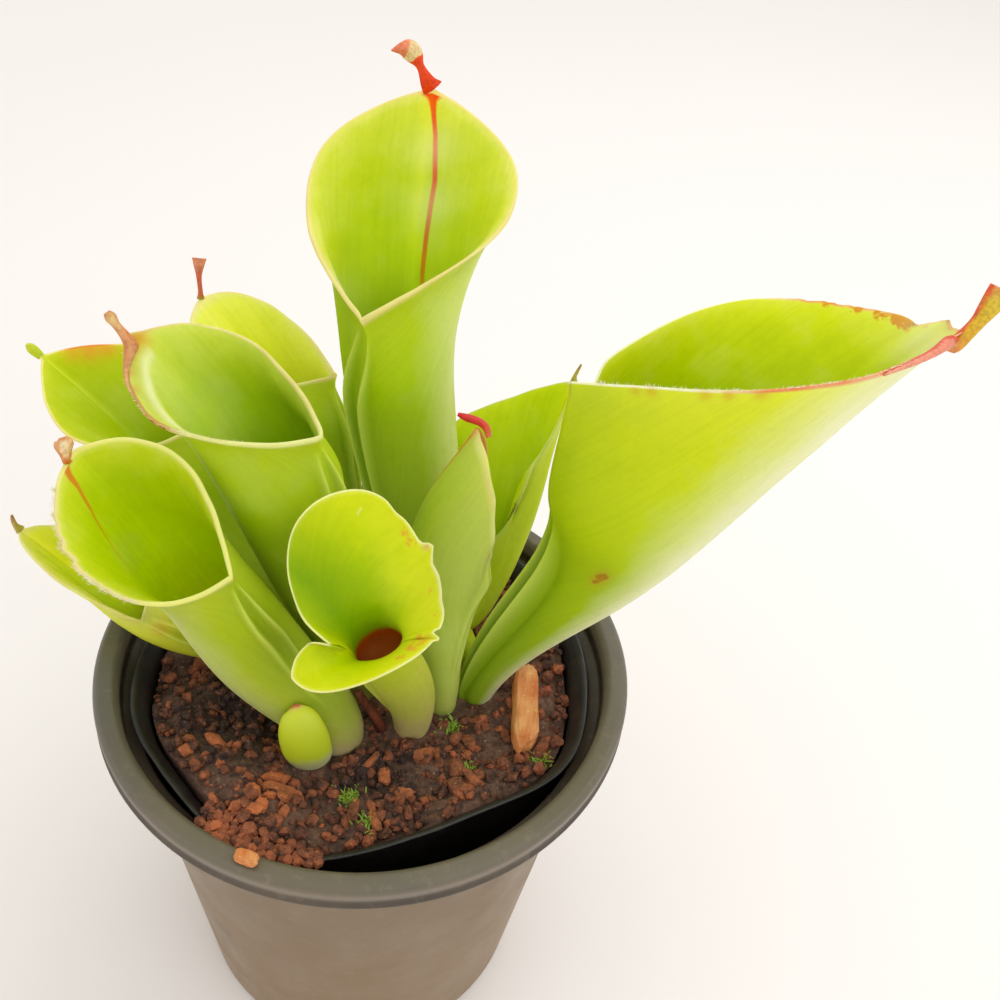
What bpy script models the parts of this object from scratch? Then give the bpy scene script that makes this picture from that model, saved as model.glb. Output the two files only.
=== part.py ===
# Potted marsh pitcher plant (Heliamphora minor): a clump of funnel leaves in a doubled nursery pot.
# Metres, +Z up. Origin: centre of the pot's underside. The plant's front is towards -Y.

import math

import bmesh
import bpy
import numpy as np
from mathutils import Euler, Vector

MM = 0.001

# Outer pot, in mm: a round tapered nursery pot with a thick collar
RIM_RADIUS = 45.0
POT_HEIGHT = 78.0
LIP_INNER_RADIUS = 41.0
SHOULDER_RADIUS = 38.6
SHOULDER_Z = 73.4
COLLAR_HEIGHT = 5.0
WALL_TOP_RADIUS = 39.6
BASE_RADIUS = 31.3
POT_FLOOR = 1.6
DRAIN_HOLES = 6
DRAIN_RADIUS = 2.6
DRAIN_CIRCLE = 21.0
POT_STEPS = 40

# Inner pot, in mm: thin and soft, so its rim is pressed out of round. Angle in degrees: radius
INNER_RIM = {0: 38.2, 27: 38.4, 72: 38.6, 117: 38.0, 162: 38.6, 184: 38.3, 206: 40.0,
             229: 37.6, 254: 38.0, 279: 35.4, 300: 34.8, 315: 35.4, 333: 39.8}
INNER_TOP = 75.6
INNER_BASE = POT_FLOOR + 0.3
INNER_WALL = 0.9
INNER_NECK = 0.955
INNER_NECK_Z = 73.0
INNER_TAPER = 0.70
INNER_SIDES = 40

# Soil, in mm
GAP = 0.3
SOIL_Z = 72.0
FOOT_Z = 62.0
CROWN = (7.0, -2.0)
HOLE_MARGIN = 0.85
HOLE_MOUTH = 1.6
HOLE_LEAN = 3.0
CHIP_COUNT = 26
CHIP_FIELD = 30.5
CHIP_CLEAR = 8.5
CHIP_SIZES = ((2.6, 1.8, 1.6), (6.0, 3.8, 2.6))
LARGE_CHIP = (27, -8, 73)
LARGE_CHIP_SIZE = (4.6, 12.0, 3.2)
RIM_CHIP = (-10.5, -41.5)
RIM_CHIP_SIZE = (4.2, 2.2, 1.4)
RIM_CHIP_BEVEL = 0.3
MOSS_RADIUS = 1.9
MOSS_SPOTS = ((15.5, -8.5), (5, -29.5), (30.5, -13.5), (19.5, -17), (1.5, -25.5), (24, 13))

# Leaf sections: angles round the tube, 0 at the winged front seam, 180 at the back rib
HALF_ANGLES = (0, 11, 22, 42, 66, 92, 118, 140, 161, 180)
TUBE_RINGS = 6
BOWL_RINGS = 6
HOLLOW_RING = 3
LEAF_WALL = 0.95
WING_HEIGHT = 1.3
WING_START = 0.12
WING_SPAN = 0.75
LIP_ROUND = 0.3

# Each pitcher leaf, in mm and degrees.
# foot: place in the soil.  notch, tip: front and back ends of the mouth.
# wide, lift, forward: the right and left lobes of the mouth, seen from notch to tip.
# sharp: how pointed the mouth is at notch and tip (0.5 is round, 1 is pointed).
# below, throat: how far under the notch the throat lies, and its half widths across and through.
# inset: how far the throat is set back from the straight line between foot and notch.
# sway: how far the middle of the tube is bent aside.
# spoon: centre of the nectar spoon.  cap: the spoon's length and half width.
LEAF_DEFAULTS = {"lift": (0, 0), "forward": (0, 0), "sharp": (0.8, 0.6), "roll": 0, "belly": 1.0,
                 "foot_radius": (2.6, 2.6), "grow": 1.2, "lean": 0.3, "aim": 0.25, "flare": 35,
                 "cap": (5.0, 2.0), "inset": 0, "sway": (0, 0, 0)}

LEAVES = {
    "pitcher_tall": {
        "foot": (9, 6), "notch": (-6.5, 29, 125.5), "tip": (-1, 68, 149),
        "wide": (19, 17), "lift": (-0.5, -2), "forward": (-3.5, 0.5), "sharp": (1.1, 0.77),
        "below": 16, "throat": (9.5, 8), "belly": 1.5, "foot_radius": (3.0, 2.8),
        "spoon": (-4.5, 64, 157), "cap": (6.5, 2.4)},
    "pitcher_right": {
        "foot": (19.5, -0.5), "notch": (27, 5, 134.5), "tip": (83, 17, 143.5),
        "wide": (14, 20), "lift": (2, 0), "forward": (-5, -4), "sharp": (1.1, 1.08), "roll": 9,
        "below": 24, "throat": (8.5, 12.5), "lean": 0.3, "aim": 0.2, "inset": 4.0, "belly": 0.3,
        "spoon": (88, 19.5, 148.5), "cap": (5.0, 2.6)},
    "pitcher_left_upper": {
        "foot": (-0.5, -3), "notch": (-8, 2, 122), "tip": (-38, 13.5, 128),
        "wide": (8.5, 9), "lift": (0, -1.5), "forward": (-1, -1.5), "sharp": (0.9, 0.65), "roll": 14,
        "below": 14, "throat": (8, 8.5), "lean": 0.1, "belly": 0.2, "grow": 1.5,
        "spoon": (-41, 10.5, 132.5), "cap": (4.0, 1.6)},
    "pitcher_left_lower": {
        "foot": (-2.2, -13.8), "notch": (-16.7, -17.3, 110.1), "tip": (-42.3, -4.9, 119.6),
        "wide": (9.0, 12.8), "lift": (-0.5, -0.5), "forward": (-2, 6.7), "sharp": (1.0, 0.72), "roll": 20,
        "below": 13, "throat": (6.8, 10.8), "belly": 1.2, "lean": 0.4, "grow": 0.75,
        "foot_radius": (4.0, 4.0), "inset": 2.0, "sway": (-1.4, -0.6, 0.6),
        "spoon": (-42.3, -7.8, 123.3), "cap": (4.0, 1.7)},
    "pitcher_front": {
        "foot": (9, -9.5), "notch": (-4.5, -20.5, 104), "tip": (12.3, -13.3, 108),
        "wide": (8, 18.5), "lift": (4, 1.3), "forward": (16.5, 8.4), "sharp": (0.7, 0.42), "roll": -50,
        "below": 9, "throat": (4.2, 4.2), "lean": 0.1, "foot_radius": (3.0, 3.0),
        "spoon": (12.6, -13.0, 109.5), "cap": (1.6, 1.2)},
    "pitcher_back_left": {
        "foot": (0.5, 5.5), "notch": (-13, 40, 106), "tip": (-39.5, 49, 113),
        "wide": (8, 11), "lift": (-1, -2), "forward": (-2, 0.5), "sharp": (0.87, 0.57), "roll": 4,
        "below": 12, "throat": (6, 6), "lean": 0.4,
        "spoon": (-40.3, 51, 119), "cap": (3.5, 1.5)},
    "pitcher_far_left": {
        "foot": (-6, 3.5), "notch": (-34, 22, 104), "tip": (-63, 32, 108),
        "wide": (13, 12.5), "sharp": (0.8, 0.95), "roll": 7,
        "below": 12, "throat": (6, 6), "lean": 0.6,
        "spoon": (-65.5, 32, 110), "cap": (2.5, 1.2)},
    "pitcher_low_left": {
        "foot": (-9, -1.5), "notch": (-36.7, -4.4, 84.2), "tip": (-63, 11.8, 85.2),
        "wide": (7.5, 4), "lift": (0.7, 1.5), "sharp": (0.68, 0.64),
        "below": 6, "throat": (4, 2.8), "belly": 0, "lean": 1.4, "foot_radius": (2.2, 2.0),
        "spoon": (-64, 11.7, 87.6), "cap": (2.0, 0.9)},
    "pitcher_young": {
        "foot": (13.4, -3.5), "notch": (18.7, 5.5, 98), "tip": (14.3, 11, 120),
        "wide": (4, 4), "sharp": (0.6, 0.5), "below": 5, "throat": (4.2, 4.4), "belly": 0.5, "lean": 0.05,
        "spoon": (11.6, 9, 123), "cap": (3.0, 1.3)},
    "pitcher_back_right": {
        "foot": (16, 6.5), "notch": (17, 19, 88), "tip": (30, 41, 110),
        "wide": (4.5, 15), "lift": (2, 0.5), "forward": (4, -3), "sharp": (0.5, 0.85),
        "below": 8, "throat": (4.6, 4.8), "lean": 0.2,
        "spoon": (30.7, 41.5, 113.5), "cap": (1.5, 0.7)},
}

# The smallest leaf is still a closed bud, and one old leaf is left as a dry stalk.
# Path points (x, y, z) and half widths across and through, in mm
BUD_PATH = ((-6, -19.6, FOOT_Z), (-6, -19.6, 71.5), (-6.1, -21.0, 74), (-6.5, -21.8, 77.5),
            (-7.0, -21.6, 81.5), (-7.6, -20.2, 85.5))
BUD_RADII = ((2.0, 1.8), (2.2, 1.9), (3.6, 2.2), (4.1, 2.4), (3.3, 1.8), (0.9, 0.6))
STALK_PATH = ((4.5, -11, FOOT_Z), (4.4, -11, 71), (3.4, -11.3, 75), (1.6, -11.8, 79), (0.4, -12.0, 82))
STALK_RADII = ((0.9, 0.9), (0.9, 0.9), (0.8, 0.8), (0.7, 0.7), (0.6, 0.6))

COLORS = {
    "leaf": (0.36, 0.56, 0.03, 1), "young_leaf": (0.42, 0.60, 0.05, 1), "dry": (0.16, 0.06, 0.03, 1),
    "soil": (0.07, 0.035, 0.022, 1), "bark": (0.50, 0.20, 0.07, 1),
    "pot": (0.13, 0.115, 0.10, 1), "inner_pot": (0.012, 0.012, 0.013, 1),
}
ROUGHNESS = {"leaf": 0.45, "young_leaf": 0.45, "dry": 0.8, "soil": 0.95, "bark": 0.9, "pot": 0.5,
             "inner_pot": 0.6}


# Scene helpers

def clear_scene():
    for old in list(bpy.data.objects):
        bpy.data.objects.remove(old, do_unlink=True)


def material(name):
    found = bpy.data.materials.get(name)
    if found:
        return found
    made = bpy.data.materials.new(name)
    made.use_nodes = True
    shader = made.node_tree.nodes["Principled BSDF"]
    shader.inputs["Base Color"].default_value = COLORS[name]
    shader.inputs["Roughness"].default_value = ROUGHNESS[name]
    shader.inputs["Metallic"].default_value = 0.0
    made.diffuse_color = COLORS[name]
    return made


def collection(name):
    made = bpy.data.collections.new(name)
    bpy.context.scene.collection.children.link(made)
    return made


def add_object(name, points, faces, finish, group):
    """Mesh object from points in mm; its faces are turned outward."""
    mesh = bpy.data.meshes.new(name)
    mesh.from_pydata([tuple(p * MM) for p in np.asarray(points, float)], [], faces)
    work = bmesh.new()
    work.from_mesh(mesh)
    bmesh.ops.recalc_face_normals(work, faces=work.faces)
    work.to_mesh(mesh)
    work.free()
    mesh.materials.append(material(finish))
    mesh.shade_smooth()
    made = bpy.data.objects.new(name, mesh)
    group.objects.link(made)
    return made


def combine(target, pieces, operation, cutters):
    """One Boolean of target with a collection of pieces, applied; the pieces are removed."""
    holder = bpy.data.collections.new("pieces")
    cutters.children.link(holder)
    for piece in pieces:
        holder.objects.link(piece)
        for owner in list(piece.users_collection):
            if owner is not holder:
                owner.objects.unlink(piece)
    step = target.modifiers.new("combine", "BOOLEAN")
    step.operation = operation
    step.operand_type = "COLLECTION"
    step.collection = holder
    step.solver = "MANIFOLD"
    view = bpy.context.evaluated_depsgraph_get()
    view.update()
    result = bpy.data.meshes.new_from_object(target.evaluated_get(view))
    target.modifiers.clear()
    target.data = result
    for piece in pieces:
        bpy.data.objects.remove(piece, do_unlink=True)
    bpy.data.collections.remove(holder)


# Small geometry helpers

def unit(v):
    v = np.asarray(v, float)
    return v / np.linalg.norm(v, axis=-1, keepdims=True)


def ring_faces(rings, sides, first=0):
    """Quads between neighbouring rings of a closed grid."""
    faces = []
    for i in range(rings - 1):
        for j in range(sides):
            a = first + i * sides + j
            b = first + i * sides + (j + 1) % sides
            faces.append((a, b, b + sides, a + sides))
    return faces


def loft(rings):
    """Closed skin over a stack of rings, with a fan to the middle of each end ring."""
    rings = np.asarray(rings, float)
    count, sides, _ = rings.shape
    points = list(rings.reshape(-1, 3))
    faces = ring_faces(count, sides)
    for ring in (0, count - 1):
        middle = len(points)
        points.append(rings[ring].mean(axis=0))
        start = ring * sides
        for j in range(sides):
            faces.append((start + j, start + (j + 1) % sides, middle))
    return points, faces


def swept(path, radii, sides, across):
    """Rings of an elliptical section carried along a path; across is the section's wide direction."""
    path = np.asarray(path, float)
    along = unit(np.gradient(path, axis=0))
    wide = unit(across - (along @ across)[:, None] * along)
    thick = np.cross(along, wide)
    turn = np.linspace(0, 2 * math.pi, sides, endpoint=False)
    radii = np.asarray(radii, float)
    return (path[:, None] + np.cos(turn)[None, :, None] * (wide * radii[:, :1])[:, None]
            + np.sin(turn)[None, :, None] * (thick * radii[:, 1:])[:, None])


# Pitcher leaves

def section_angles():
    half = np.radians(HALF_ANGLES)
    return np.concatenate([half, 2 * math.pi - half[-2:0:-1]])


def mouth_rim(leaf, turn):
    """The mouth's edge: two lobes from notch to tip, each with its own width, lift and forward bulge."""
    notch = np.array(leaf["notch"], float)
    tip = np.array(leaf["tip"], float)
    length = np.linalg.norm(tip - notch)
    along = (tip - notch) / length
    right = unit(np.cross(along, (0, 0, 1)))
    up = np.cross(right, along)
    roll = math.radians(leaf["roll"])
    right, up = math.cos(roll) * right + math.sin(roll) * up, math.cos(roll) * up - math.sin(roll) * right
    reach = np.sin(turn / 2) ** 2
    at_notch, at_tip = leaf["sharp"]
    peak = at_notch / (at_notch + at_tip)
    width = reach ** at_notch * (1 - reach) ** at_tip / (peak ** at_notch * (1 - peak) ** at_tip)
    is_right = turn < math.pi
    sign = np.where(is_right, 1.0, -1.0)
    wide = np.where(is_right, *leaf["wide"])
    lift = np.where(is_right, *leaf["lift"])
    forward = np.where(is_right, *leaf["forward"])
    rim = (notch + np.outer(reach * length - forward * width * (1 - reach), along)
           + np.outer(sign * wide * width, right) + np.outer(4 * reach * (1 - reach) * lift, up))
    return rim, notch, tip, along, up


def leaf_rings(leaf, turn):
    """Rings from the foot to the mouth: an elliptical tube on a bent spine, then a bowl out to the rim."""
    rim, notch, tip, along, up = mouth_rim(leaf, turn)
    foot_across, foot_through = leaf["foot_radius"]
    foot = np.array([*leaf["foot"], SOIL_Z])
    back = unit([along[0], along[1], 0])
    down = unit(foot - foot_through * back - notch)
    end_way = unit(-(1 - leaf["aim"]) * down + leaf["aim"] * up)
    end_back = unit(along - (along @ end_way) * end_way)
    throat_across, throat_through = leaf["throat"]
    throat = notch + leaf["below"] * down + (throat_through + leaf["inset"]) * end_back
    span = np.linalg.norm(throat - foot)
    start_way = unit(np.array([0, 0, 1]) + leaf["lean"] * back)

    s = np.linspace(0, 1, TUBE_RINGS)[:, None]
    spine = ((2 * s**3 - 3 * s**2 + 1) * foot + (s**3 - 2 * s**2 + s) * span * start_way
             + (3 * s**2 - 2 * s**3) * throat + (s**3 - s**2) * span * end_way)
    spine = spine + np.sin(math.pi * s) ** 2 * np.array(leaf["sway"])
    way = unit((6 * s**2 - 6 * s) * foot + (3 * s**2 - 4 * s + 1) * span * start_way
               + (6 * s - 6 * s**2) * throat + (3 * s**2 - 2 * s) * span * end_way
               + math.pi * np.sin(2 * math.pi * s) * np.array(leaf["sway"]))
    backs = unit((1 - s) * back + s * end_back)
    backs = unit(backs - (backs * way).sum(axis=1, keepdims=True) * way)
    rights = np.cross(backs, way)
    swell = leaf["belly"] * np.sin(math.pi * s)
    across = foot_across + (throat_across - foot_across) * s ** leaf["grow"] + swell
    through = foot_through + (throat_through - foot_through) * s ** leaf["grow"] + swell
    tube = (spine[:, None] - (through * np.cos(turn))[..., None] * backs[:, None]
            + (across * np.sin(turn))[..., None] * rights[:, None])

    start = tube[-1]
    leaving = unit(tube[-1] - tube[-2])
    reach = np.linalg.norm(rim - start, axis=1, keepdims=True)
    middle = (notch + tip) / 2
    outward = unit(rim - middle - ((rim - middle) @ up)[:, None] * up)
    arriving = unit(unit(rim - start) + 0.6 * math.tan(math.radians(leaf["flare"])) * outward)
    q = np.linspace(0, 1, BOWL_RINGS + 1)[1:, None, None]
    bowl = ((1 - q)**3 * start + 3 * (1 - q)**2 * q * (start + 0.35 * reach * leaving)
            + 3 * (1 - q) * q**2 * (rim - 0.3 * reach * arriving) + q**3 * rim)
    sunk = tube[:1] * (1, 1, 0) + (0, 0, FOOT_Z)
    sunk = (sunk - sunk.mean(axis=1, keepdims=True)) + (foot[0], foot[1], FOOT_Z)
    return np.concatenate([sunk, tube, bowl]), arriving


def wings(rings, turn):
    """Two low ribs beside the front seam, highest half way up and gone at foot and mouth."""
    count = len(rings)
    s = np.linspace(0, 1, count)[:, None]
    height = WING_HEIGHT * np.sin(math.pi * np.clip((s - WING_START) / WING_SPAN, 0, 1)) ** 0.7
    ridge = np.where(np.isin(np.round(np.degrees(turn)), (11, 349)), 1.0, 0.0)
    outward = unit(rings - rings.mean(axis=1, keepdims=True))
    return rings + (height * ridge)[..., None] * outward


def inner_rings(rings, turn):
    """The wall's inner skin: set in along the surface normal, and straight inward at the two seams."""
    upward = np.gradient(rings, axis=0)
    around = np.roll(rings, -1, axis=1) - np.roll(rings, 1, axis=1)
    normal = unit(np.cross(around, upward))
    inward = unit(rings.mean(axis=1, keepdims=True) - rings)
    normal = np.where((normal * inward).sum(axis=-1, keepdims=True) > 0, normal, -normal)
    from_seam = np.minimum(np.minimum(turn, 2 * math.pi - turn), 1.3 * np.abs(turn - math.pi))
    seam = np.exp(-(from_seam / 0.45) ** 2)[None, :, None]
    return rings + LEAF_WALL * unit((1 - seam) * normal + seam * inward)


def spoon(name, leaf, base, arriving, group):
    """Nectar spoon: a flat stalk off the back of the mouth that ends in a small hood."""
    center = np.array(leaf["spoon"], float)
    hood, half = leaf["cap"]
    notch = np.array(leaf["notch"], float)
    tip = np.array(leaf["tip"], float)
    along = unit(tip - notch)
    across = unit(np.cross(along, (0, 0, 1)))
    reach = np.linalg.norm(center - base)
    over = unit(unit(center - base) - 1.1 * along)
    bend = base + reach * (0.2 * arriving + 0.25 * unit(center - base))
    path = np.array([base - 2.2 * arriving, base, bend, base + 0.8 * (center - base), center, center + 0.45 * hood * over,
                     center + 0.8 * hood * over])
    thin = 0.65
    radii = np.array([(0.75 * half, thin * 0.7), (0.8 * half, thin), (0.55 * half, thin),
                      (0.45 * half, thin), (0.9 * half, 1.3 * thin), (half, 1.4 * thin),
                      (0.45 * half, thin)])
    radii[:, 0] = np.maximum(radii[:, 0], 0.55)
    points, faces = loft(swept(path, radii, 6, across))
    return add_object(name + "_spoon", points, faces, "leaf", group)


def pitcher(name, sizes, group, cutters):
    leaf = {**LEAF_DEFAULTS, **sizes}
    turn = section_angles()
    sides = len(turn)
    outer, arriving = leaf_rings(leaf, turn)
    inner = inner_rings(outer, turn)[1 + HOLLOW_RING:]
    wall_lip = (outer[-1] + inner[-1]) / 2
    lip = wall_lip + LIP_ROUND * arriving
    shell = np.concatenate([wings(outer, turn), lip[None], inner[::-1]])
    points, faces = loft(shell)
    body = add_object(name, points, faces, "leaf", group)
    back = sides // 2
    hood = spoon(name, leaf, wall_lip[back], arriving[back], group)
    combine(body, [hood], "UNION", cutters)
    return body


def bark_on_rim(group, cutters):
    """One bark chip that fell on the pot's flat lip."""
    x, y = RIM_CHIP
    z = POT_HEIGHT + GAP + RIM_CHIP_SIZE[2] / 2
    turned = (0, 0, math.atan2(y, x) + math.pi / 2)
    found = chip((x, y, z), RIM_CHIP_SIZE, turned, cutters, "bark_on_rim")
    cutters.objects.unlink(found)
    group.objects.link(found)
    found.data.materials.append(material("bark"))
    edges = found.modifiers.new("worn_edges", "BEVEL")
    edges.width = RIM_CHIP_BEVEL * MM
    edges.segments = 1


def closed_shoot(name, path, radii, finish, sides, group):
    """A leaf bud or dry stalk: an elliptical section along a short path."""
    rings = swept(path, radii, sides, np.array([1.0, 0.2, 0.0]))
    points, faces = loft(rings)
    return add_object(name, points, faces, finish, group)


# Pots

def outer_pot(group, cutters):
    collar_z = POT_HEIGHT - COLLAR_HEIGHT
    profile = ((0, POT_FLOOR), (BASE_RADIUS - 2.2, POT_FLOOR), (SHOULDER_RADIUS, SHOULDER_Z - 0.6),
               (LIP_INNER_RADIUS - 0.3, SHOULDER_Z), (LIP_INNER_RADIUS, POT_HEIGHT - 0.8),
               (LIP_INNER_RADIUS + 0.8, POT_HEIGHT), (RIM_RADIUS - 0.9, POT_HEIGHT),
               (RIM_RADIUS - 0.1, POT_HEIGHT - 0.9), (RIM_RADIUS - 0.5, collar_z + 1.7),
               (RIM_RADIUS, collar_z + 0.9), (RIM_RADIUS - 0.7, collar_z),
               (WALL_TOP_RADIUS + 0.9, collar_z - 0.2), (WALL_TOP_RADIUS, collar_z - 1.4),
               (BASE_RADIUS, 1.4), (BASE_RADIUS - 1.0, 0), (0, 0))
    mesh = bpy.data.meshes.new("pot")
    steps = [(i, i + 1) for i in range(len(profile) - 1)]
    mesh.from_pydata([(r * MM, 0, z * MM) for r, z in profile], steps, [])
    mesh.materials.append(material("pot"))
    pot = bpy.data.objects.new("pot", mesh)
    group.objects.link(pot)
    turned = pot.modifiers.new("turned", "SCREW")
    turned.steps = POT_STEPS
    turned.render_steps = POT_STEPS
    turned.use_merge_vertices = True
    turned.merge_threshold = 0.00001
    weld = pot.modifiers.new("weld", "WELD")
    weld.merge_threshold = 0.00001
    view = bpy.context.evaluated_depsgraph_get()
    view.update()
    turned_mesh = bpy.data.meshes.new_from_object(pot.evaluated_get(view))
    pot.modifiers.clear()
    pot.data = turned_mesh
    drains = []
    for i in range(DRAIN_HOLES):
        turn = 2 * math.pi * (i + 0.5) / DRAIN_HOLES
        drains.append(drill("drain", (DRAIN_CIRCLE * math.cos(turn), DRAIN_CIRCLE * math.sin(turn)),
                            -1.0, POT_FLOOR + 1.0, DRAIN_RADIUS, DRAIN_RADIUS, 10, cutters))
    combine(pot, drains, "DIFFERENCE", cutters)
    pot.data.shade_smooth()
    pot.data.set_sharp_from_angle(angle=math.radians(40))


def drill(name, place, low, high, low_radius, high_radius, sides, cutters, shift=(0, 0)):
    """Upright plug used as a cutter, wider at the top where a leaf leans out of its hole."""
    work = bmesh.new()
    bmesh.ops.create_cone(work, cap_ends=True, segments=sides, radius1=low_radius * MM,
                          radius2=high_radius * MM, depth=(high - low) * MM)
    for v in work.verts:
        if v.co.z > 0:
            v.co.x += shift[0] * MM
            v.co.y += shift[1] * MM
    bmesh.ops.translate(work, verts=work.verts,
                        vec=Vector((place[0], place[1], (low + high) / 2)) * MM)
    mesh = bpy.data.meshes.new(name)
    work.to_mesh(mesh)
    work.free()
    made = bpy.data.objects.new(name, mesh)
    made.hide_render = True
    made.display_type = "WIRE"
    cutters.objects.link(made)
    return made


def inner_outline(turn):
    """Radius of the soft pot's rim at an angle: its measured points, eased over a few degrees."""
    known = sorted(INNER_RIM)
    values = [INNER_RIM[a] for a in known]
    ease = (-10, -5, 0, 5, 10)
    return np.mean([np.interp(np.degrees(turn) + d, known, values, period=360) for d in ease], axis=0)


def inner_ring(turn, z, inset):
    """Outline of the inner pot at a height: full at the rim, drawn in to the neck, then tapering down."""
    neck = INNER_NECK + (1 - INNER_NECK) * np.clip((z - INNER_NECK_Z) / (INNER_TOP - INNER_NECK_Z), 0, 1)
    below = np.clip((INNER_NECK_Z - z) / INNER_NECK_Z, 0, 1)
    radius = inner_outline(turn) * (neck - (INNER_NECK - INNER_TAPER) * below) - inset
    return np.stack([radius * np.cos(turn), radius * np.sin(turn), np.full_like(turn, z)], axis=-1)


def inner_pot(group):
    turn = np.linspace(0, 2 * math.pi, INNER_SIDES, endpoint=False)
    heights = (INNER_BASE, 30, 55, INNER_NECK_Z, INNER_TOP)
    outer = [inner_ring(turn, z, 0) for z in heights]
    floor = INNER_BASE + INNER_WALL
    inner = [inner_ring(turn, z, INNER_WALL) for z in (INNER_TOP, INNER_NECK_Z - 0.2, 55, 30, floor)]
    points, faces = loft(np.array(outer + inner))
    add_object("inner_pot", points, faces, "inner_pot", group)


# Soil with bark chips and moss

def soil_height(x, y):
    """Rolling surface, a little heaped at the front left and lower round the crown."""
    rolling = 0.5 * np.sin(0.31 * x + 1.0) * np.cos(0.27 * y) + 0.4 * np.sin(0.17 * x - 0.35 * y + 2.0)
    heap = 3.2 * np.exp(-((x + 22) ** 2 + (y + 24) ** 2) / 190.0)
    from_crown = np.hypot(x - CROWN[0], y - CROWN[1])
    hollow = np.clip((from_crown - 14) / 12, 0, 1)
    return SOIL_Z + (rolling + heap) * hollow - 0.5 * (1 - hollow)


def chip(place, size, turn, cutters, name="chip"):
    work = bmesh.new()
    bmesh.ops.create_cube(work, size=MM)
    bmesh.ops.scale(work, verts=work.verts, vec=Vector(size))
    bmesh.ops.rotate(work, verts=work.verts, cent=(0, 0, 0), matrix=Euler(turn).to_matrix())
    bmesh.ops.translate(work, verts=work.verts, vec=Vector(place) * MM)
    mesh = bpy.data.meshes.new(name)
    work.to_mesh(mesh)
    work.free()
    made = bpy.data.objects.new(name, mesh)
    cutters.objects.link(made)
    return made


def moss_tuft(place, cutters):
    work = bmesh.new()
    bmesh.ops.create_icosphere(work, subdivisions=1, radius=MOSS_RADIUS * MM)
    bmesh.ops.scale(work, verts=work.verts, vec=Vector((1, 1, 0.7)))
    bmesh.ops.translate(work, verts=work.verts, vec=Vector(place) * MM)
    mesh = bpy.data.meshes.new("moss")
    work.to_mesh(mesh)
    work.free()
    made = bpy.data.objects.new("moss", mesh)
    cutters.objects.link(made)
    return made


def feet():
    """Every shoot that stands in the soil: place, radius of its foot, and the way it leans."""
    standing = []
    for sizes in LEAVES.values():
        leaf = {**LEAF_DEFAULTS, **sizes}
        way = unit(np.subtract(leaf["tip"], leaf["notch"])[:2])
        standing.append((leaf["foot"], max(leaf["foot_radius"]), way * leaf["lean"]))
    standing.append((BUD_PATH[0][:2], max(BUD_RADII[0]), np.array([-0.3, -0.6])))
    standing.append((STALK_PATH[0][:2], max(STALK_RADII[0]), np.array([-0.2, 0.0])))
    return standing


def soil(group, cutters):
    turn = np.linspace(0, 2 * math.pi, INNER_SIDES, endpoint=False)
    inset = INNER_WALL + 1.5 * GAP
    floor = INNER_BASE + INNER_WALL + GAP
    edge = inner_ring(turn, SOIL_Z, inset)
    rings = [inner_ring(turn, floor, inset), inner_ring(turn, 30, inset), inner_ring(turn, 55, inset)]
    for share in (1.0, 0.93, 0.82, 0.7, 0.57, 0.42, 0.25, 0.1):
        ring = edge * (share, share, 1)
        ring[:, 2] = soil_height(ring[:, 0], ring[:, 1])
        rings.append(ring)
    rings[3][:, 2] -= 0.6
    points, faces = loft(np.array(rings))
    body = add_object("soil", points, faces, "soil", group)

    holes = []
    for place, radius, lean in feet():
        mouth = radius + HOLE_MOUTH + HOLE_LEAN * float(np.hypot(*lean))
        holes.append(drill("hole", place, FOOT_Z - GAP, SOIL_Z + 4, radius + HOLE_MARGIN, mouth, 12, cutters,
                           tuple(HOLE_LEAN * lean)))
    combine(body, holes, "DIFFERENCE", cutters)

    rng = np.random.default_rng(7)
    standing = feet()
    pieces = []
    while len(pieces) < CHIP_COUNT:
        angle = rng.uniform(0, 2 * math.pi)
        radius = CHIP_FIELD * math.sqrt(rng.uniform(0.02, 1))
        x = radius * math.cos(angle)
        y = radius * math.sin(angle)
        size = rng.uniform(*CHIP_SIZES)
        turned = (rng.uniform(-0.35, 0.35), rng.uniform(-0.35, 0.35), rng.uniform(0, math.pi))
        if min(math.hypot(x - p[0], y - p[1]) for p, _, _ in standing) < CHIP_CLEAR:
            continue
        pieces.append(chip((x, y, soil_height(x, y) + 0.3 * size[2]), size, turned, cutters))
    pieces.append(chip(LARGE_CHIP, LARGE_CHIP_SIZE, (0.1, 0.12, 0.08), cutters))
    for x, y in MOSS_SPOTS:
        pieces.append(moss_tuft((x, y, soil_height(x, y) + 0.3), cutters))
    combine(body, pieces, "UNION", cutters)


def build():
    clear_scene()
    group = collection("potted_heliamphora")
    cutters = collection("cutters")
    outer_pot(group, cutters)
    inner_pot(group)
    soil(group, cutters)
    for name, sizes in LEAVES.items():
        pitcher(name, sizes, group, cutters)
    bark_on_rim(group, cutters)
    closed_shoot("leaf_bud", BUD_PATH, BUD_RADII, "young_leaf", 12, group)
    closed_shoot("dry_stalk", STALK_PATH, STALK_RADII, "dry", 6, group)
    bpy.data.collections.remove(cutters)


build()
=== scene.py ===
# Potted marsh pitcher plant: fine leaves, pots, soil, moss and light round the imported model.
# Lengths in the dictionaries are millimetres, angles degrees, colours sRGB from 0 to 255.
import math

import bmesh
import bpy
import numpy as np
from mathutils import Matrix


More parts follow.
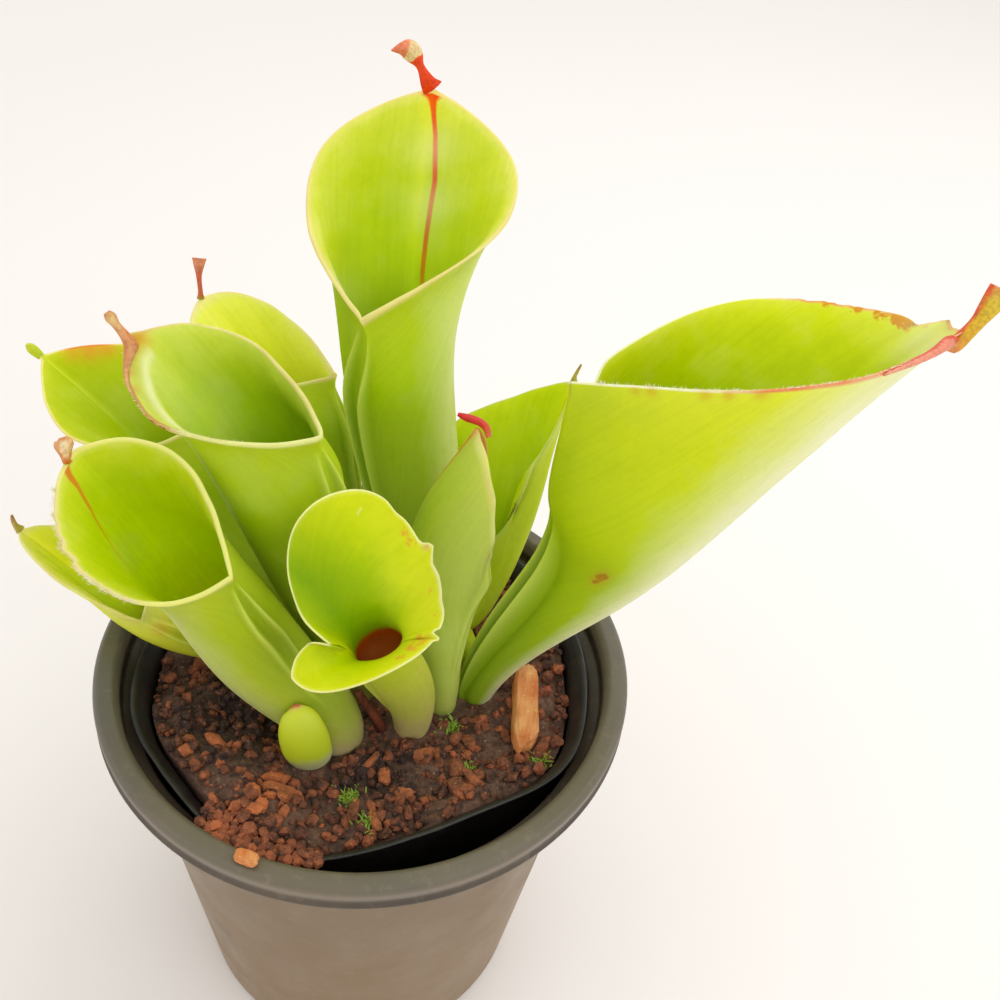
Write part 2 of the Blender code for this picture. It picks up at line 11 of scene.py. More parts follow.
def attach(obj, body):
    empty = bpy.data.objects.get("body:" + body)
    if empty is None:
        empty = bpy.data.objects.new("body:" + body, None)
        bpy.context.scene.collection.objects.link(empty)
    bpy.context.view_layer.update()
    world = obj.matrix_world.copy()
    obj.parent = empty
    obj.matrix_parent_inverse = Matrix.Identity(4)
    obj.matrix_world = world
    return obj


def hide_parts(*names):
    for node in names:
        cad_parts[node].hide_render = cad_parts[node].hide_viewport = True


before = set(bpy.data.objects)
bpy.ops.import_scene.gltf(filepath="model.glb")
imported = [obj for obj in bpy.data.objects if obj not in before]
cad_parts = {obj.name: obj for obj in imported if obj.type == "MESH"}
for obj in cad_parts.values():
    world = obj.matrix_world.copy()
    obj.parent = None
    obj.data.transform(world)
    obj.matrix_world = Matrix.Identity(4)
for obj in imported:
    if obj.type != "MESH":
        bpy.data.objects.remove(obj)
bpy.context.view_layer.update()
bpy.context.scene.view_settings.view_transform = "Standard"
print("stage: frame loaded")

mm = 0.001


# Helpers

def linear(color):
    # sRGB 0 to 255 to the scene's linear values, opaque
    c = np.asarray(color, float) / 255
    return (*np.where(c <= 0.04045, c / 12.92, ((c + 0.055) / 1.055) ** 2.4), 1)


def unit(v):
    return v / np.maximum(np.linalg.norm(v, axis=-1, keepdims=True), 1e-9)


def ease(x, low, high):
    # 0 at low, 1 at high, smooth between
    t = np.clip((x - low) / (high - low), 0, 1)
    return t * t * (3 - 2 * t)


def between(table, at):
    # straight steps between a table's values, which end at 360 as they begin unless it says otherwise
    table = {**table, 360: table.get(360, table[0])}
    return np.interp(at, list(table), list(table.values()))


def circle(count):
    return np.linspace(0, 2 * math.pi, count, endpoint=False)


def bell(away, half):
    return np.exp(-(away / half) ** 2)


def turnedBy(right, up, degrees):
    # two square directions turned in their own plane
    c, s = math.cos(math.radians(degrees)), math.sin(math.radians(degrees))
    return c * right + s * up, c * up - s * right


def softNoise(points, size, seed):
    # value noise from 0 to 1: random numbers on a cubic lattice of that size, eased between its corners
    table = np.random.default_rng(seed).random(4096)
    place = np.asarray(points, float) / size
    cell = np.floor(place).astype(np.int64)
    f = place - cell
    f = f * f * (3 - 2 * f)
    total = np.zeros(place.shape[:-1])
    for corner in np.ndindex(2, 2, 2):
        key = (cell + corner) * (73856093, 19349663, 83492791)
        key = (key[..., 0] ^ key[..., 1] ^ key[..., 2]) & 4095
        total += np.prod(np.where(corner, f, 1 - f), axis=-1) * table[key]
    return total


def curveThrough(points, count):
    # smooth path: a Catmull-Rom curve through the points, read at even steps
    p = np.asarray(points, float)
    p = np.concatenate([2 * p[:1] - p[1:2], p, 2 * p[-1:] - p[-2:-1]])
    t = np.linspace(0, len(p) - 3 - 1e-6, count)
    i = t.astype(int)
    f = (t - i)[:, None]
    a, b, c, d = p[i], p[i + 1], p[i + 2], p[i + 3]
    return 0.5 * (2 * b + (c - a) * f + (2 * a - 5 * b + 4 * c - d) * f**2 + (3 * b - a - 3 * c + d) * f**3)


def ringQuads(rows, sides):
    # numbers of the points on stacked rings, and quads between neighbours, closed round each ring
    index = np.arange(rows * sides).reshape(rows, sides)
    right = np.roll(index, -1, axis=1)
    return index, np.stack([index[:-1], right[:-1], right[1:], index[1:]], axis=-1).reshape(-1, 4)


def withEnds(values):
    # a field on rings, with the mean of each end ring for the middles that close them
    ends = (values[:1].mean(axis=1), values[-1:].mean(axis=1))
    return np.concatenate([values.reshape(-1, *values.shape[2:]), *ends])


def closedSkin(rings):
    # rings joined by quads, and a fan to the middle of each end ring
    index, quads = ringQuads(*rings.shape[:2])
    low, high = index[0], index[-1]
    fans = [np.stack([a, b, np.full_like(a, index.size + end)], axis=-1)
            for end, (a, b) in enumerate(((np.roll(low, -1), low), (high, np.roll(high, -1))))]
    return withEnds(rings), quads.tolist() + np.concatenate(fans).tolist()


def addPiece(name, points, faces, finish, node, slot, fields={}, smooth=True, sharpFrom=None):
    # mesh object from points in mm, faces turned outward, riding on the part's one body;
    # with sharpFrom, points that meet are merged and edges from that angle on stay sharp
    mesh = bpy.data.meshes.new(name)
    mesh.from_pydata((np.asarray(points) * mm).tolist(), [], faces)
    work = bmesh.new()
    work.from_mesh(mesh)
    if sharpFrom:
        bmesh.ops.remove_doubles(work, verts=work.verts, dist=0.02 * mm)
    bmesh.ops.recalc_face_normals(work, faces=work.faces)
    work.to_mesh(mesh)
    work.free()
    if smooth:
        mesh.shade_smooth()
    if sharpFrom:
        mesh.set_sharp_from_angle(angle=math.radians(sharpFrom))
    for label, values in fields.items():
        values = np.asarray(values, np.float32)
        kind, key = ("FLOAT", "value") if values.ndim == 1 else ("FLOAT_VECTOR", "vector")
        mesh.attributes.new(label, kind, "POINT").data.foreach_set(key, values.ravel())
    mesh.materials.append(finish)
    made = bpy.data.objects.new(name, mesh)
    bpy.context.scene.collection.objects.link(made)
    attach(made, "root")
    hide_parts(node)


def addSkin(name, rings, finish, node, slot, fields={}):
    # piece from rings, with its colour fields given on the same rings
    ended = {label: withEnds(values) for label, values in fields.items()}
    addPiece(name, *closedSkin(rings), finish, node, slot, ended)


class Finish:
    # a material and short ways to add its nodes

    def __init__(self, name, **constants):
        self.material = bpy.data.materials.new(name)
        self.material.use_nodes = True
        self.tree = self.material.node_tree
        self.shader = self.tree.nodes["Principled BSDF"]
        for socket, value in constants.items():
            self.shader.inputs[socket.replace("_", " ")].default_value = value

    def node(self, kind, inputs, **settings):
        # a new node's outputs; each input is linked to a socket or set to a value
        made = self.tree.nodes.new("ShaderNode" + kind)
        for key, value in settings.items():
            setattr(made, key, value)
        for key, value in inputs.items():
            if isinstance(value, bpy.types.NodeSocket):
                self.tree.links.new(value, made.inputs[key])
            else:
                made.inputs[key].default_value = value
        return made.outputs

    def stretched(self, source, scale):
        return self.node("VectorMath", {0: source, 1: scale}, operation="MULTIPLY")[0]

    def place(self, scale=(1, 1, 1)):
        return self.stretched(self.node("TexCoord", {})["Object"], scale)

    def field(self, label, output="Fac"):
        return self.node("Attribute", {}, attribute_name=label)[output]

    def noise(self, scale, detail=3, rough=0.55, vector=None):
        return self.node("TexNoise", {"Scale": scale, "Detail": detail, "Roughness": rough,
                                      "Vector": vector or self.place()})["Fac"]

    def remap(self, value, low, high, toLow=0.0, toHigh=1.0):
        return self.node("MapRange", dict(enumerate((value, low, high, toLow, toHigh))))[0]

    def spread(self, noise, toLow, toHigh):
        # the middle of a noise, 0.3 to 0.7, carried to other values
        return self.remap(noise, 0.3, 0.7, toLow, toHigh)

    def ramp(self, value, stops):
        made = self.tree.nodes.new("ShaderNodeValToRGB")
        points = made.color_ramp.elements
        while len(points) < len(stops):
            points.new(0.5)
        for point, (position, color) in zip(points, stops.items()):
            point.position = position
            point.color = linear(color)
        self.tree.links.new(value, made.inputs[0])
        return made.outputs[0]

    def mix(self, share, a, b, blend="MIX"):
        a, b = (c if isinstance(c, bpy.types.NodeSocket) else linear(c) for c in (a, b))
        return self.node("Mix", {0: share, 6: a, 7: b}, data_type="RGBA", blend_type=blend)[2]

    def tinted(self, share, color, amount, tint):
        # part of the colour is multiplied by a tint
        return self.mix(share, color, self.mix(amount, color, tint, "MULTIPLY"))

    def math(self, operation, a, b=0.0):
        return self.node("Math", {0: a, 1: b}, operation=operation)[0]

    def plus(self, a, b):
        return self.math("ADD", a, b)

    def times(self, a, b):
        return self.math("MULTIPLY", a, b)

    def finish(self, color, roughness=None, height=None, strength=0.3, depth=0.2):
        # links the colour, roughness and bump (depth in mm) to the shader
        bump = None
        if height:
            bump = self.node("Bump", {"Strength": strength, "Distance": depth * mm, "Height": height})[0]
        for key, source in (("Base Color", color), ("Roughness", roughness), ("Normal", bump)):
            if source:
                self.tree.links.new(source, self.shader.inputs[key])
        return self.material


def setUp(made, right, up, place):
    # object linked to the scene at a place in mm, its own x to the right and y up
    turned = np.eye(4)
    turned[:3] = np.stack([right, up, np.cross(right, up), np.array(place) * mm], axis=-1)
    made.matrix_world = Matrix(turned.tolist())
    bpy.context.scene.collection.objects.link(made)


# Camera: the photograph's view, down at the plant and turned a little
cameraView = {"place": (19.31, -127.87, 226.18), "down": 40.84, "roll": 6.86, "lens": 40.83, "sensor": 36}


def addCamera():
    # looks ahead and down by one angle, then is rolled round the line of sight
    down = math.radians(cameraView["down"])
    level = np.array([1.0, 0, 0])
    up = np.cross(level, (0, math.cos(down), -math.sin(down)))
    data = bpy.data.cameras.new("camera")
    data.lens = cameraView["lens"]
    data.sensor_width = cameraView["sensor"]
    data.clip_start = 10 * mm
    camera = bpy.data.objects.new("camera", data)
    setUp(camera, *turnedBy(level, up, cameraView["roll"]), cameraView["place"])
    bpy.context.scene.camera = camera


addCamera()

# Floor and light: warm white floor, pale sky, one soft lamp above and one at each side (place, size, power)
studio = {"floor": (248, 243, 240), "floorSize": 6000, "sky": (255, 254, 251), "skyStrength": 0.9,
          "lamps": ((260, 260, 620, 520, 1.1), (420, -380, 520, 400, 0.6), (-500, -250, 380, 350, 0.25)),
          "litHeight": 90}


def addStudio():
    # the floor is one flat square at the pot's foot; each lamp is a square that faces the plant
    half = studio["floorSize"] / 2 * mm
    mesh = bpy.data.meshes.new("studioFloor")
    corners = [(x * half, y * half, 0) for x, y in ((-1, -1), (1, -1), (1, 1), (-1, 1))]
    mesh.from_pydata(corners, [], [(0, 1, 2, 3)])
    paint = Finish("floorPaint", Roughness=0.7)
    tone = paint.mix(paint.noise(3.0, 2), studio["floor"], tuple(c - 4 for c in studio["floor"]))
    mesh.materials.append(paint.finish(tone))
    floor = bpy.data.objects.new("studioFloor", mesh)
    bpy.context.scene.collection.objects.link(floor)
    world = bpy.data.worlds.new("studio")
    world.use_nodes = True
    sky = world.node_tree.nodes["Background"]
    sky.inputs[0].default_value = linear(studio["sky"])
    sky.inputs[1].default_value = studio["skyStrength"]
    bpy.context.scene.world = world
    for i, (x, y, z, size, power) in enumerate(studio["lamps"]):
        data = bpy.data.lights.new(f"lamp{i}", "AREA")
        data.energy = power
        data.size = size * mm
        toPlant = unit(np.array([0.0, 0.0, studio["litHeight"]]) - (x, y, z))
        side = unit(np.cross(toPlant, (0, 1, 0.01)))
        setUp(bpy.data.objects.new(f"lamp{i}", data), side, np.cross(side, toPlant), (x, y, z))


addStudio()
print("stage: camera and studio")

# Ground levels that the pieces share
levels = {"soil": 72.0, "foot": 62.0, "crown": (7.0, -2.0), "potTop": 78.0}

# Pitcher leaves, with angles round each from the front seam.  notch, tip: front and back ends of the
# mouth.  wide, lift, forward: its right and left lobes.  sharp: how pointed it is at notch and tip.
# below, throat, inset: where the throat lies and its half widths.  sway, bow: bends of tube and bowl.
# wing: how far the two wings stand out beside the seam, at wingAt to each side.  bumps: angle, half width,
# out and up.  pulls: angle, half width and a shift.  rolled, flared, ragged: rolled lip, widened lip and
# torn edge by angle.  hollowFrom: where the inner skin starts, as a share of the tube's rows.
leafDefaults = {
    "lift": (0, 0), "forward": (0, 0), "sharp": (0.8, 0.6), "roll": 0, "belly": 1, "footRadius": (2.6, 2.6),
    "grow": 1.2, "lean": 0.3, "aim": 0.25, "flare": 35, "inset": 0, "sway": (0, 0, 0), "columns": 144,
    "wall": 0.8, "rolled": {0: 0}, "flared": {0: 0}, "wing": 1.3, "wingSpan": (0.12, 0.84), "wingTurn": 0,
    "wingFade": 0.7, "pulls": (), "bow": (0.35, 0.3), "bumps": (), "ragged": {0: 0}, "wave": 0.25,
    "hollowFrom": 0.5, "wingAt": 11, "wingHalf": 4.6, "tubeRows": 26, "bowlRows": 36
}

leafSizes = {
    "pitcher_tall": {
        "foot": (9, 6), "notch": (-6.5, 29, 125.5), "tip": (-1, 68, 149), "wide": (19, 17),
        "lift": (-0.5, -2), "forward": (-3.5, 0.5), "sharp": (1.1, 0.77), "below": 16, "throat": (9.5, 8),
        "belly": 1.5, "footRadius": (3, 2.8), "wing": 1.6, "wingTurn": -50,
        "rolled": {0: 0.3, 60: 0.2, 120: 0.05, 240: 0.05, 300: 0.2},
        "flared": {0: 0.2, 30: 0.8, 75: 1.1, 110: 0.3, 250: 0.2, 290: 0.8, 335: 0.5}},
    "pitcher_right": {
        "foot": (19.5, -0.5), "notch": (27, 5, 134.5), "tip": (83, 17, 143.5), "wide": (14, 20),
        "lift": (2, 0), "forward": (-5, -4), "sharp": (1.1, 1.08), "roll": 9, "columns": 300, "below": 24,
        "throat": (8.5, 13.3), "grow": 2.3, "bow": (0.2, 0.12), "aim": 0.2, "inset": 4, "belly": 0.2,
        "wing": 4.6, "wingFade": 1.6, "wingSpan": (-0.06, 0.46), "wall": 0.6, "flare": 32,
        "pulls": ((3, 13, (-0.3, 0, 0)),),
        "bumps": ((212, 3, -0.3, -0.7), (202, 3, 0.2, 0.7), (199.5, 1.1, 0.2, 0.7), (338, 9, -0.8, -2.6),
            (0, 5, -0.5, -0.4)),
        "ragged": {0: 0, 212: 0, 220: 0.5, 230: 0.5, 252: 0.3, 262: 0}},
    "pitcher_left_upper": {
        "foot": (-0.5, -3), "notch": (-8, 2, 122), "tip": (-38, 13.5, 128), "wide": (8.5, 9),
        "lift": (0, -1.5), "forward": (-1, -1.5), "sharp": (0.9, 0.65), "roll": 14, "below": 14,
        "throat": (9.2, 8.5), "lean": 0.1, "belly": 0.2, "grow": 1.5, "wall": 0.75, "sway": (-2, 0, 0),
        "rolled": {0: 0.25, 90: 0.1, 180: 0, 200: 0.1, 300: 0.25},
        "flared": {0: 0.3, 90: 0.2, 170: 0.4, 190: 1.8, 215: 2.2, 245: 1.8, 275: 0.8, 320: 0.5},
        "ragged": {0: 0, 190: 0, 205: 0.35, 250: 0.35, 268: 0}},
    "pitcher_left_lower": {
        "foot": (-2.2, -13.8), "notch": (-16.7, -17.3, 110.1), "tip": (-42.3, -4.9, 119.6),
        "wide": (9, 12.8), "lift": (-0.5, -0.5), "forward": (-2, 6.7), "sharp": (1, 0.72), "roll": 20,
        "below": 13, "throat": (6.8, 10.8), "belly": 1.2, "lean": 0.4, "grow": 0.75, "footRadius": (4, 4),
        "inset": 2, "sway": (-1.4, -0.6, 0.6),
        "rolled": {0: 0.2, 60: 0.2, 120: 0.1, 180: 0, 280: 0, 300: 0.2}, "columns": 240,
        "ragged": {0: 0, 212: 0, 220: 1, 248: 1.3, 262: 1.2, 284: 0.6, 294: 0}},
    "pitcher_front": {
        "foot": (9, -9.5), "notch": (-4.5, -20.5, 104), "tip": (12.3, -13.3, 108), "wide": (8, 18.5),
        "lift": (4, 1.3), "forward": (16.5, 8.4), "sharp": (0.7, 0.42), "roll": -50, "below": 9,
        "throat": (3.1, 4.2), "inset": 2.2, "lean": 0.1, "footRadius": (3, 3), "wave": 0.4,
        "hollowFrom": 0.88, "wall": 0.55, "pulls": ((0, 8, (2.5, -0.8, -0.9)),),
        "bumps": ((24, 8, 0.4, 0), (80, 20, 0.4, 0), (184, 5, 0.8, 0), (193, 3, 1.7, 0.3),
            (216, 5, -0.5, 0), (149.5, 1.8, -0.8, 0), (145.5, 1.8, 0.8, 0)),
        "columns": 240},
    "pitcher_back_left": {
        "foot": (0.5, 5.5), "notch": (-13, 40, 106), "tip": (-39.5, 49, 113), "wide": (8, 11),
        "lift": (-1, -2), "forward": (-2, 0.5), "sharp": (0.87, 0.57), "roll": 4, "below": 12,
        "throat": (6, 6), "lean": 0.4, "rolled": {0: 0.15}},
    "pitcher_far_left": {
        "foot": (-6, 3.5), "notch": (-34, 22, 104), "tip": (-63, 32, 108), "wide": (13, 12.5),
        "sharp": (0.8, 0.95), "roll": 7, "pulls": ((180, 9, (-1.3, 0.2, 1.1)),), "below": 12,
        "throat": (6, 6), "lean": 0.6},
    "pitcher_low_left": {
        "foot": (-9, -1.5), "notch": (-36.7, -4.4, 84.2), "tip": (-63, 11.8, 85.2), "wide": (7.5, 4),
        "lift": (0.7, 1.5), "sharp": (0.68, 0.64), "below": 6, "throat": (4, 2.8), "belly": 0, "lean": 1.4,
        "footRadius": (2.2, 2), "columns": 96},
    "pitcher_young": {
        "foot": (13.4, -3.5), "notch": (18.7, 5.5, 98), "tip": (14.3, 11, 120), "wide": (2.4, 0.3),
        "lift": (-1.2, 3.7), "sharp": (0.6, 0.5), "below": 5, "throat": (4.4, 7), "belly": 0.5,
        "lean": 0.05, "flare": -12},
    "pitcher_back_right": {
        "foot": (16, 6.5), "notch": (17, 19, 88), "tip": (30, 41, 110), "wide": (3.4, 15), "lift": (2, 0.5),
        "forward": (-2, -3), "sharp": (0.5, 0.85), "below": 8, "throat": (3.4, 3), "lean": 0.2,
        "sway": (-4, 0, 0),
        "bumps": ((80, 36, -1.3, 0), (143, 14, 1, 0), (228, 20, 0, -1.2), (276, 16, 0.4, 2))},
}

# Nectar spoons, which open toward spoonFacing.  path: points up to the tip, each with its half width, its
# thickness and how far its edges bend back.  lip: the same for points on the lip, each by its angle.
spoonFacing = (19, -128, 226)
spoonSizes = {
    "pitcher_tall": {
        "lip": ((180, 2, 0.3, 0),),
        "path": ((-1.8, 67.6, 150.6, 1.4, 0.4, 0.1), (-3.2, 67.6, 153.1, 0.72, 0.45, 0.1),
            (-4.1, 67.5, 154.6, 1.5, 0.45, 0.5), (-5.1, 67.2, 155.8, 1.75, 0.4, 0.9),
            (-6.4, 66.5, 156.2, 1.05, 0.35, 0.5), (-8.1, 65.7, 156, 0.12, 0.15, 0))},
    "pitcher_right": {
        "lip": ((110, 0.2, 0.3, 0), (123, 0.45, 0.35, 0), (136, 0.65, 0.4, 0.1), (148, 0.95, 0.4, 0.2)),
        "lipShift": (0.2, -0.2, -0.35),
        "path": ((81.6, 15.4, 142, 1.2, 0.4, 0.2), (83.2, 16.6, 143.3, 1.1, 0.4, 0.4),
            (84.7, 18, 144.7, 1.1, 0.4, 0.5), (85.7, 19, 146.1, 1.4, 0.35, 0.6),
            (86.7, 20, 147.6, 1.75, 0.3, 0.7), (87.4, 20.7, 148.9, 1.9, 0.2, 0.7))},
    "pitcher_left_upper": {
        "bothSides": True, "lip": ((232, 0.15, 0.3, 0), (222, 0.3, 0.3, 0), (211, 0.5, 0.35, 0)),
        "path": ((-38.5, 11.6, 126.7, 1.1, 0.4, 0.2), (-38.9, 11.9, 128, 0.9, 0.45, 0.3),
            (-39.7, 12.1, 129.2, 0.7, 0.45, 0.3), (-40.5, 12.2, 130.3, 0.65, 0.5, 0.3),
            (-41.1, 12.2, 131.4, 0.9, 0.6, 0.4), (-41.6, 12.2, 132.2, 0.55, 0.5, 0.2))},
    "pitcher_left_lower": {
        "lip": ((192, 0.8, 0.3, 0),), "bothSides": True,
        "path": ((-42.6, -7, 119.3, 0.6, 0.4, 0.1), (-42.6, -6.9, 120.3, 0.9, 0.4, 0.4),
            (-42.7, -6.7, 121.4, 1.35, 0.4, 1), (-42.7, -6.4, 122.2, 1.15, 0.35, 0.8),
            (-42.9, -6.2, 122.8, 0.5, 0.3, 0.3))},
    "pitcher_back_left": {
        "lip": ((180, 0.7, 0.3, 0),),
        "path": ((-39.4, 48.8, 114.6, 0.45, 0.4, 0.1), (-39.8, 50, 117, 0.5, 0.4, 0.1),
            (-39.9, 50.9, 118.9, 1, 0.4, 0.4), (-39.9, 51.4, 120, 1.3, 0.25, 0.5))},
    "pitcher_far_left": {
        "lip": ((180, 0.7, 0.35, 0),), "lipShift": (1.1, -0.2, -1),
        "path": ((-64.3, 32.1, 109.2, 0.9, 0.4, 0.1), (-65, 32.2, 109.8, 0.8, 0.35, 0.1),
            (-65.6, 32.3, 110.2, 0.35, 0.3, 0.05))},
    "pitcher_low_left": {
        "lip": ((180, 0.9, 0.3, 0),),
        "path": ((-63.4, 11.3, 86.8, 0.5, 0.35, 0.1), (-63.9, 11.7, 87.6, 0.4, 0.3, 0.1),
            (-64.2, 12.2, 88.4, 0.2, 0.2, 0.1))},
    "pitcher_young": {
        "path": ((16.5, 10.2, 119.2, 0.45, 0.4, 0.1), (15.9, 11, 120.3, 0.6, 0.5, 0.2),
            (15, 11.5, 120.8, 0.6, 0.5, 0.2), (13.9, 11.8, 121, 0.65, 0.5, 0.3),
            (12.6, 11.9, 121.2, 0.6, 0.5, 0.3), (11.3, 12.1, 121.5, 0.3, 0.35, 0.2))},
    "pitcher_back_right": {
        "lip": ((180, 0.7, 0.3, 0),),
        "path": ((29.9, 40.6, 111.4, 0.4, 0.35, 0.1), (30.3, 41, 112.6, 0.3, 0.3, 0.1),
            (30.8, 41.4, 113.8, 0.18, 0.2, 0))},
}

# Colours of each leaf.  inner: by distance in mm from the rim.  outer: by height, 0 at the soil, 1 at the
# rim.  The two shading tables, outside and inside, paint light and shade by angle: above 0 painted shade
# toward the dark colour, below 0 painted light toward the pale one.  band: width of the lip's own colour,
# and blush: how much of it is lipBlush.  rib: for each height its sideways shift, half width and strength.
# The sheen line: angle, depth and strength of a painted sheen on the inner skin.  throat: height and
# colours
# of the pit.  marks: colour, grit and spots (angle, depth, half width, strength, skin); most are blotches
# of the leaf's own colour, and some pale soft ones are painted sheen.
lookDefaults = {
    "inner": {0: (222, 226, 110), 2: (210, 220, 60), 9: (190, 210, 15), 22: (170, 196, 0),
        45: (150, 178, 0)},
    "outer": {0: (176, 168, 90), 0.1: (162, 180, 50), 0.5: (164, 190, 16), 0.88: (186, 204, 30),
        1: (200, 212, 60)},
    "shade": {0: 0}, "paintedShadingIn": {0: 0}, "dark": (120, 158, 0), "pale": (222, 228, 150), "band": {0: 0.5},
    "lip": (232, 226, 150), "lipBlush": (216, 170, 110), "blush": {0: 0.2},
    "rib": ((1, 0, 0.4, 0), (0, 0, 0.4, 0)), "ribColors": ((230, 80, 20), (205, 120, 30)), "ribSkin": 1,
    "marks": (), "throat": None, "crest": (206, 216, 110), "fold": ((0, 1, 0), (360, 1, 0)),
    "paintedSheenColor": (232, 234, 190), "spoonStops": {0: (200, 200, 60), 1: (205, 180, 80)},
    "spoonSide": (225, 200, 140), "sideShare": 0, "mottle": 0.45
}
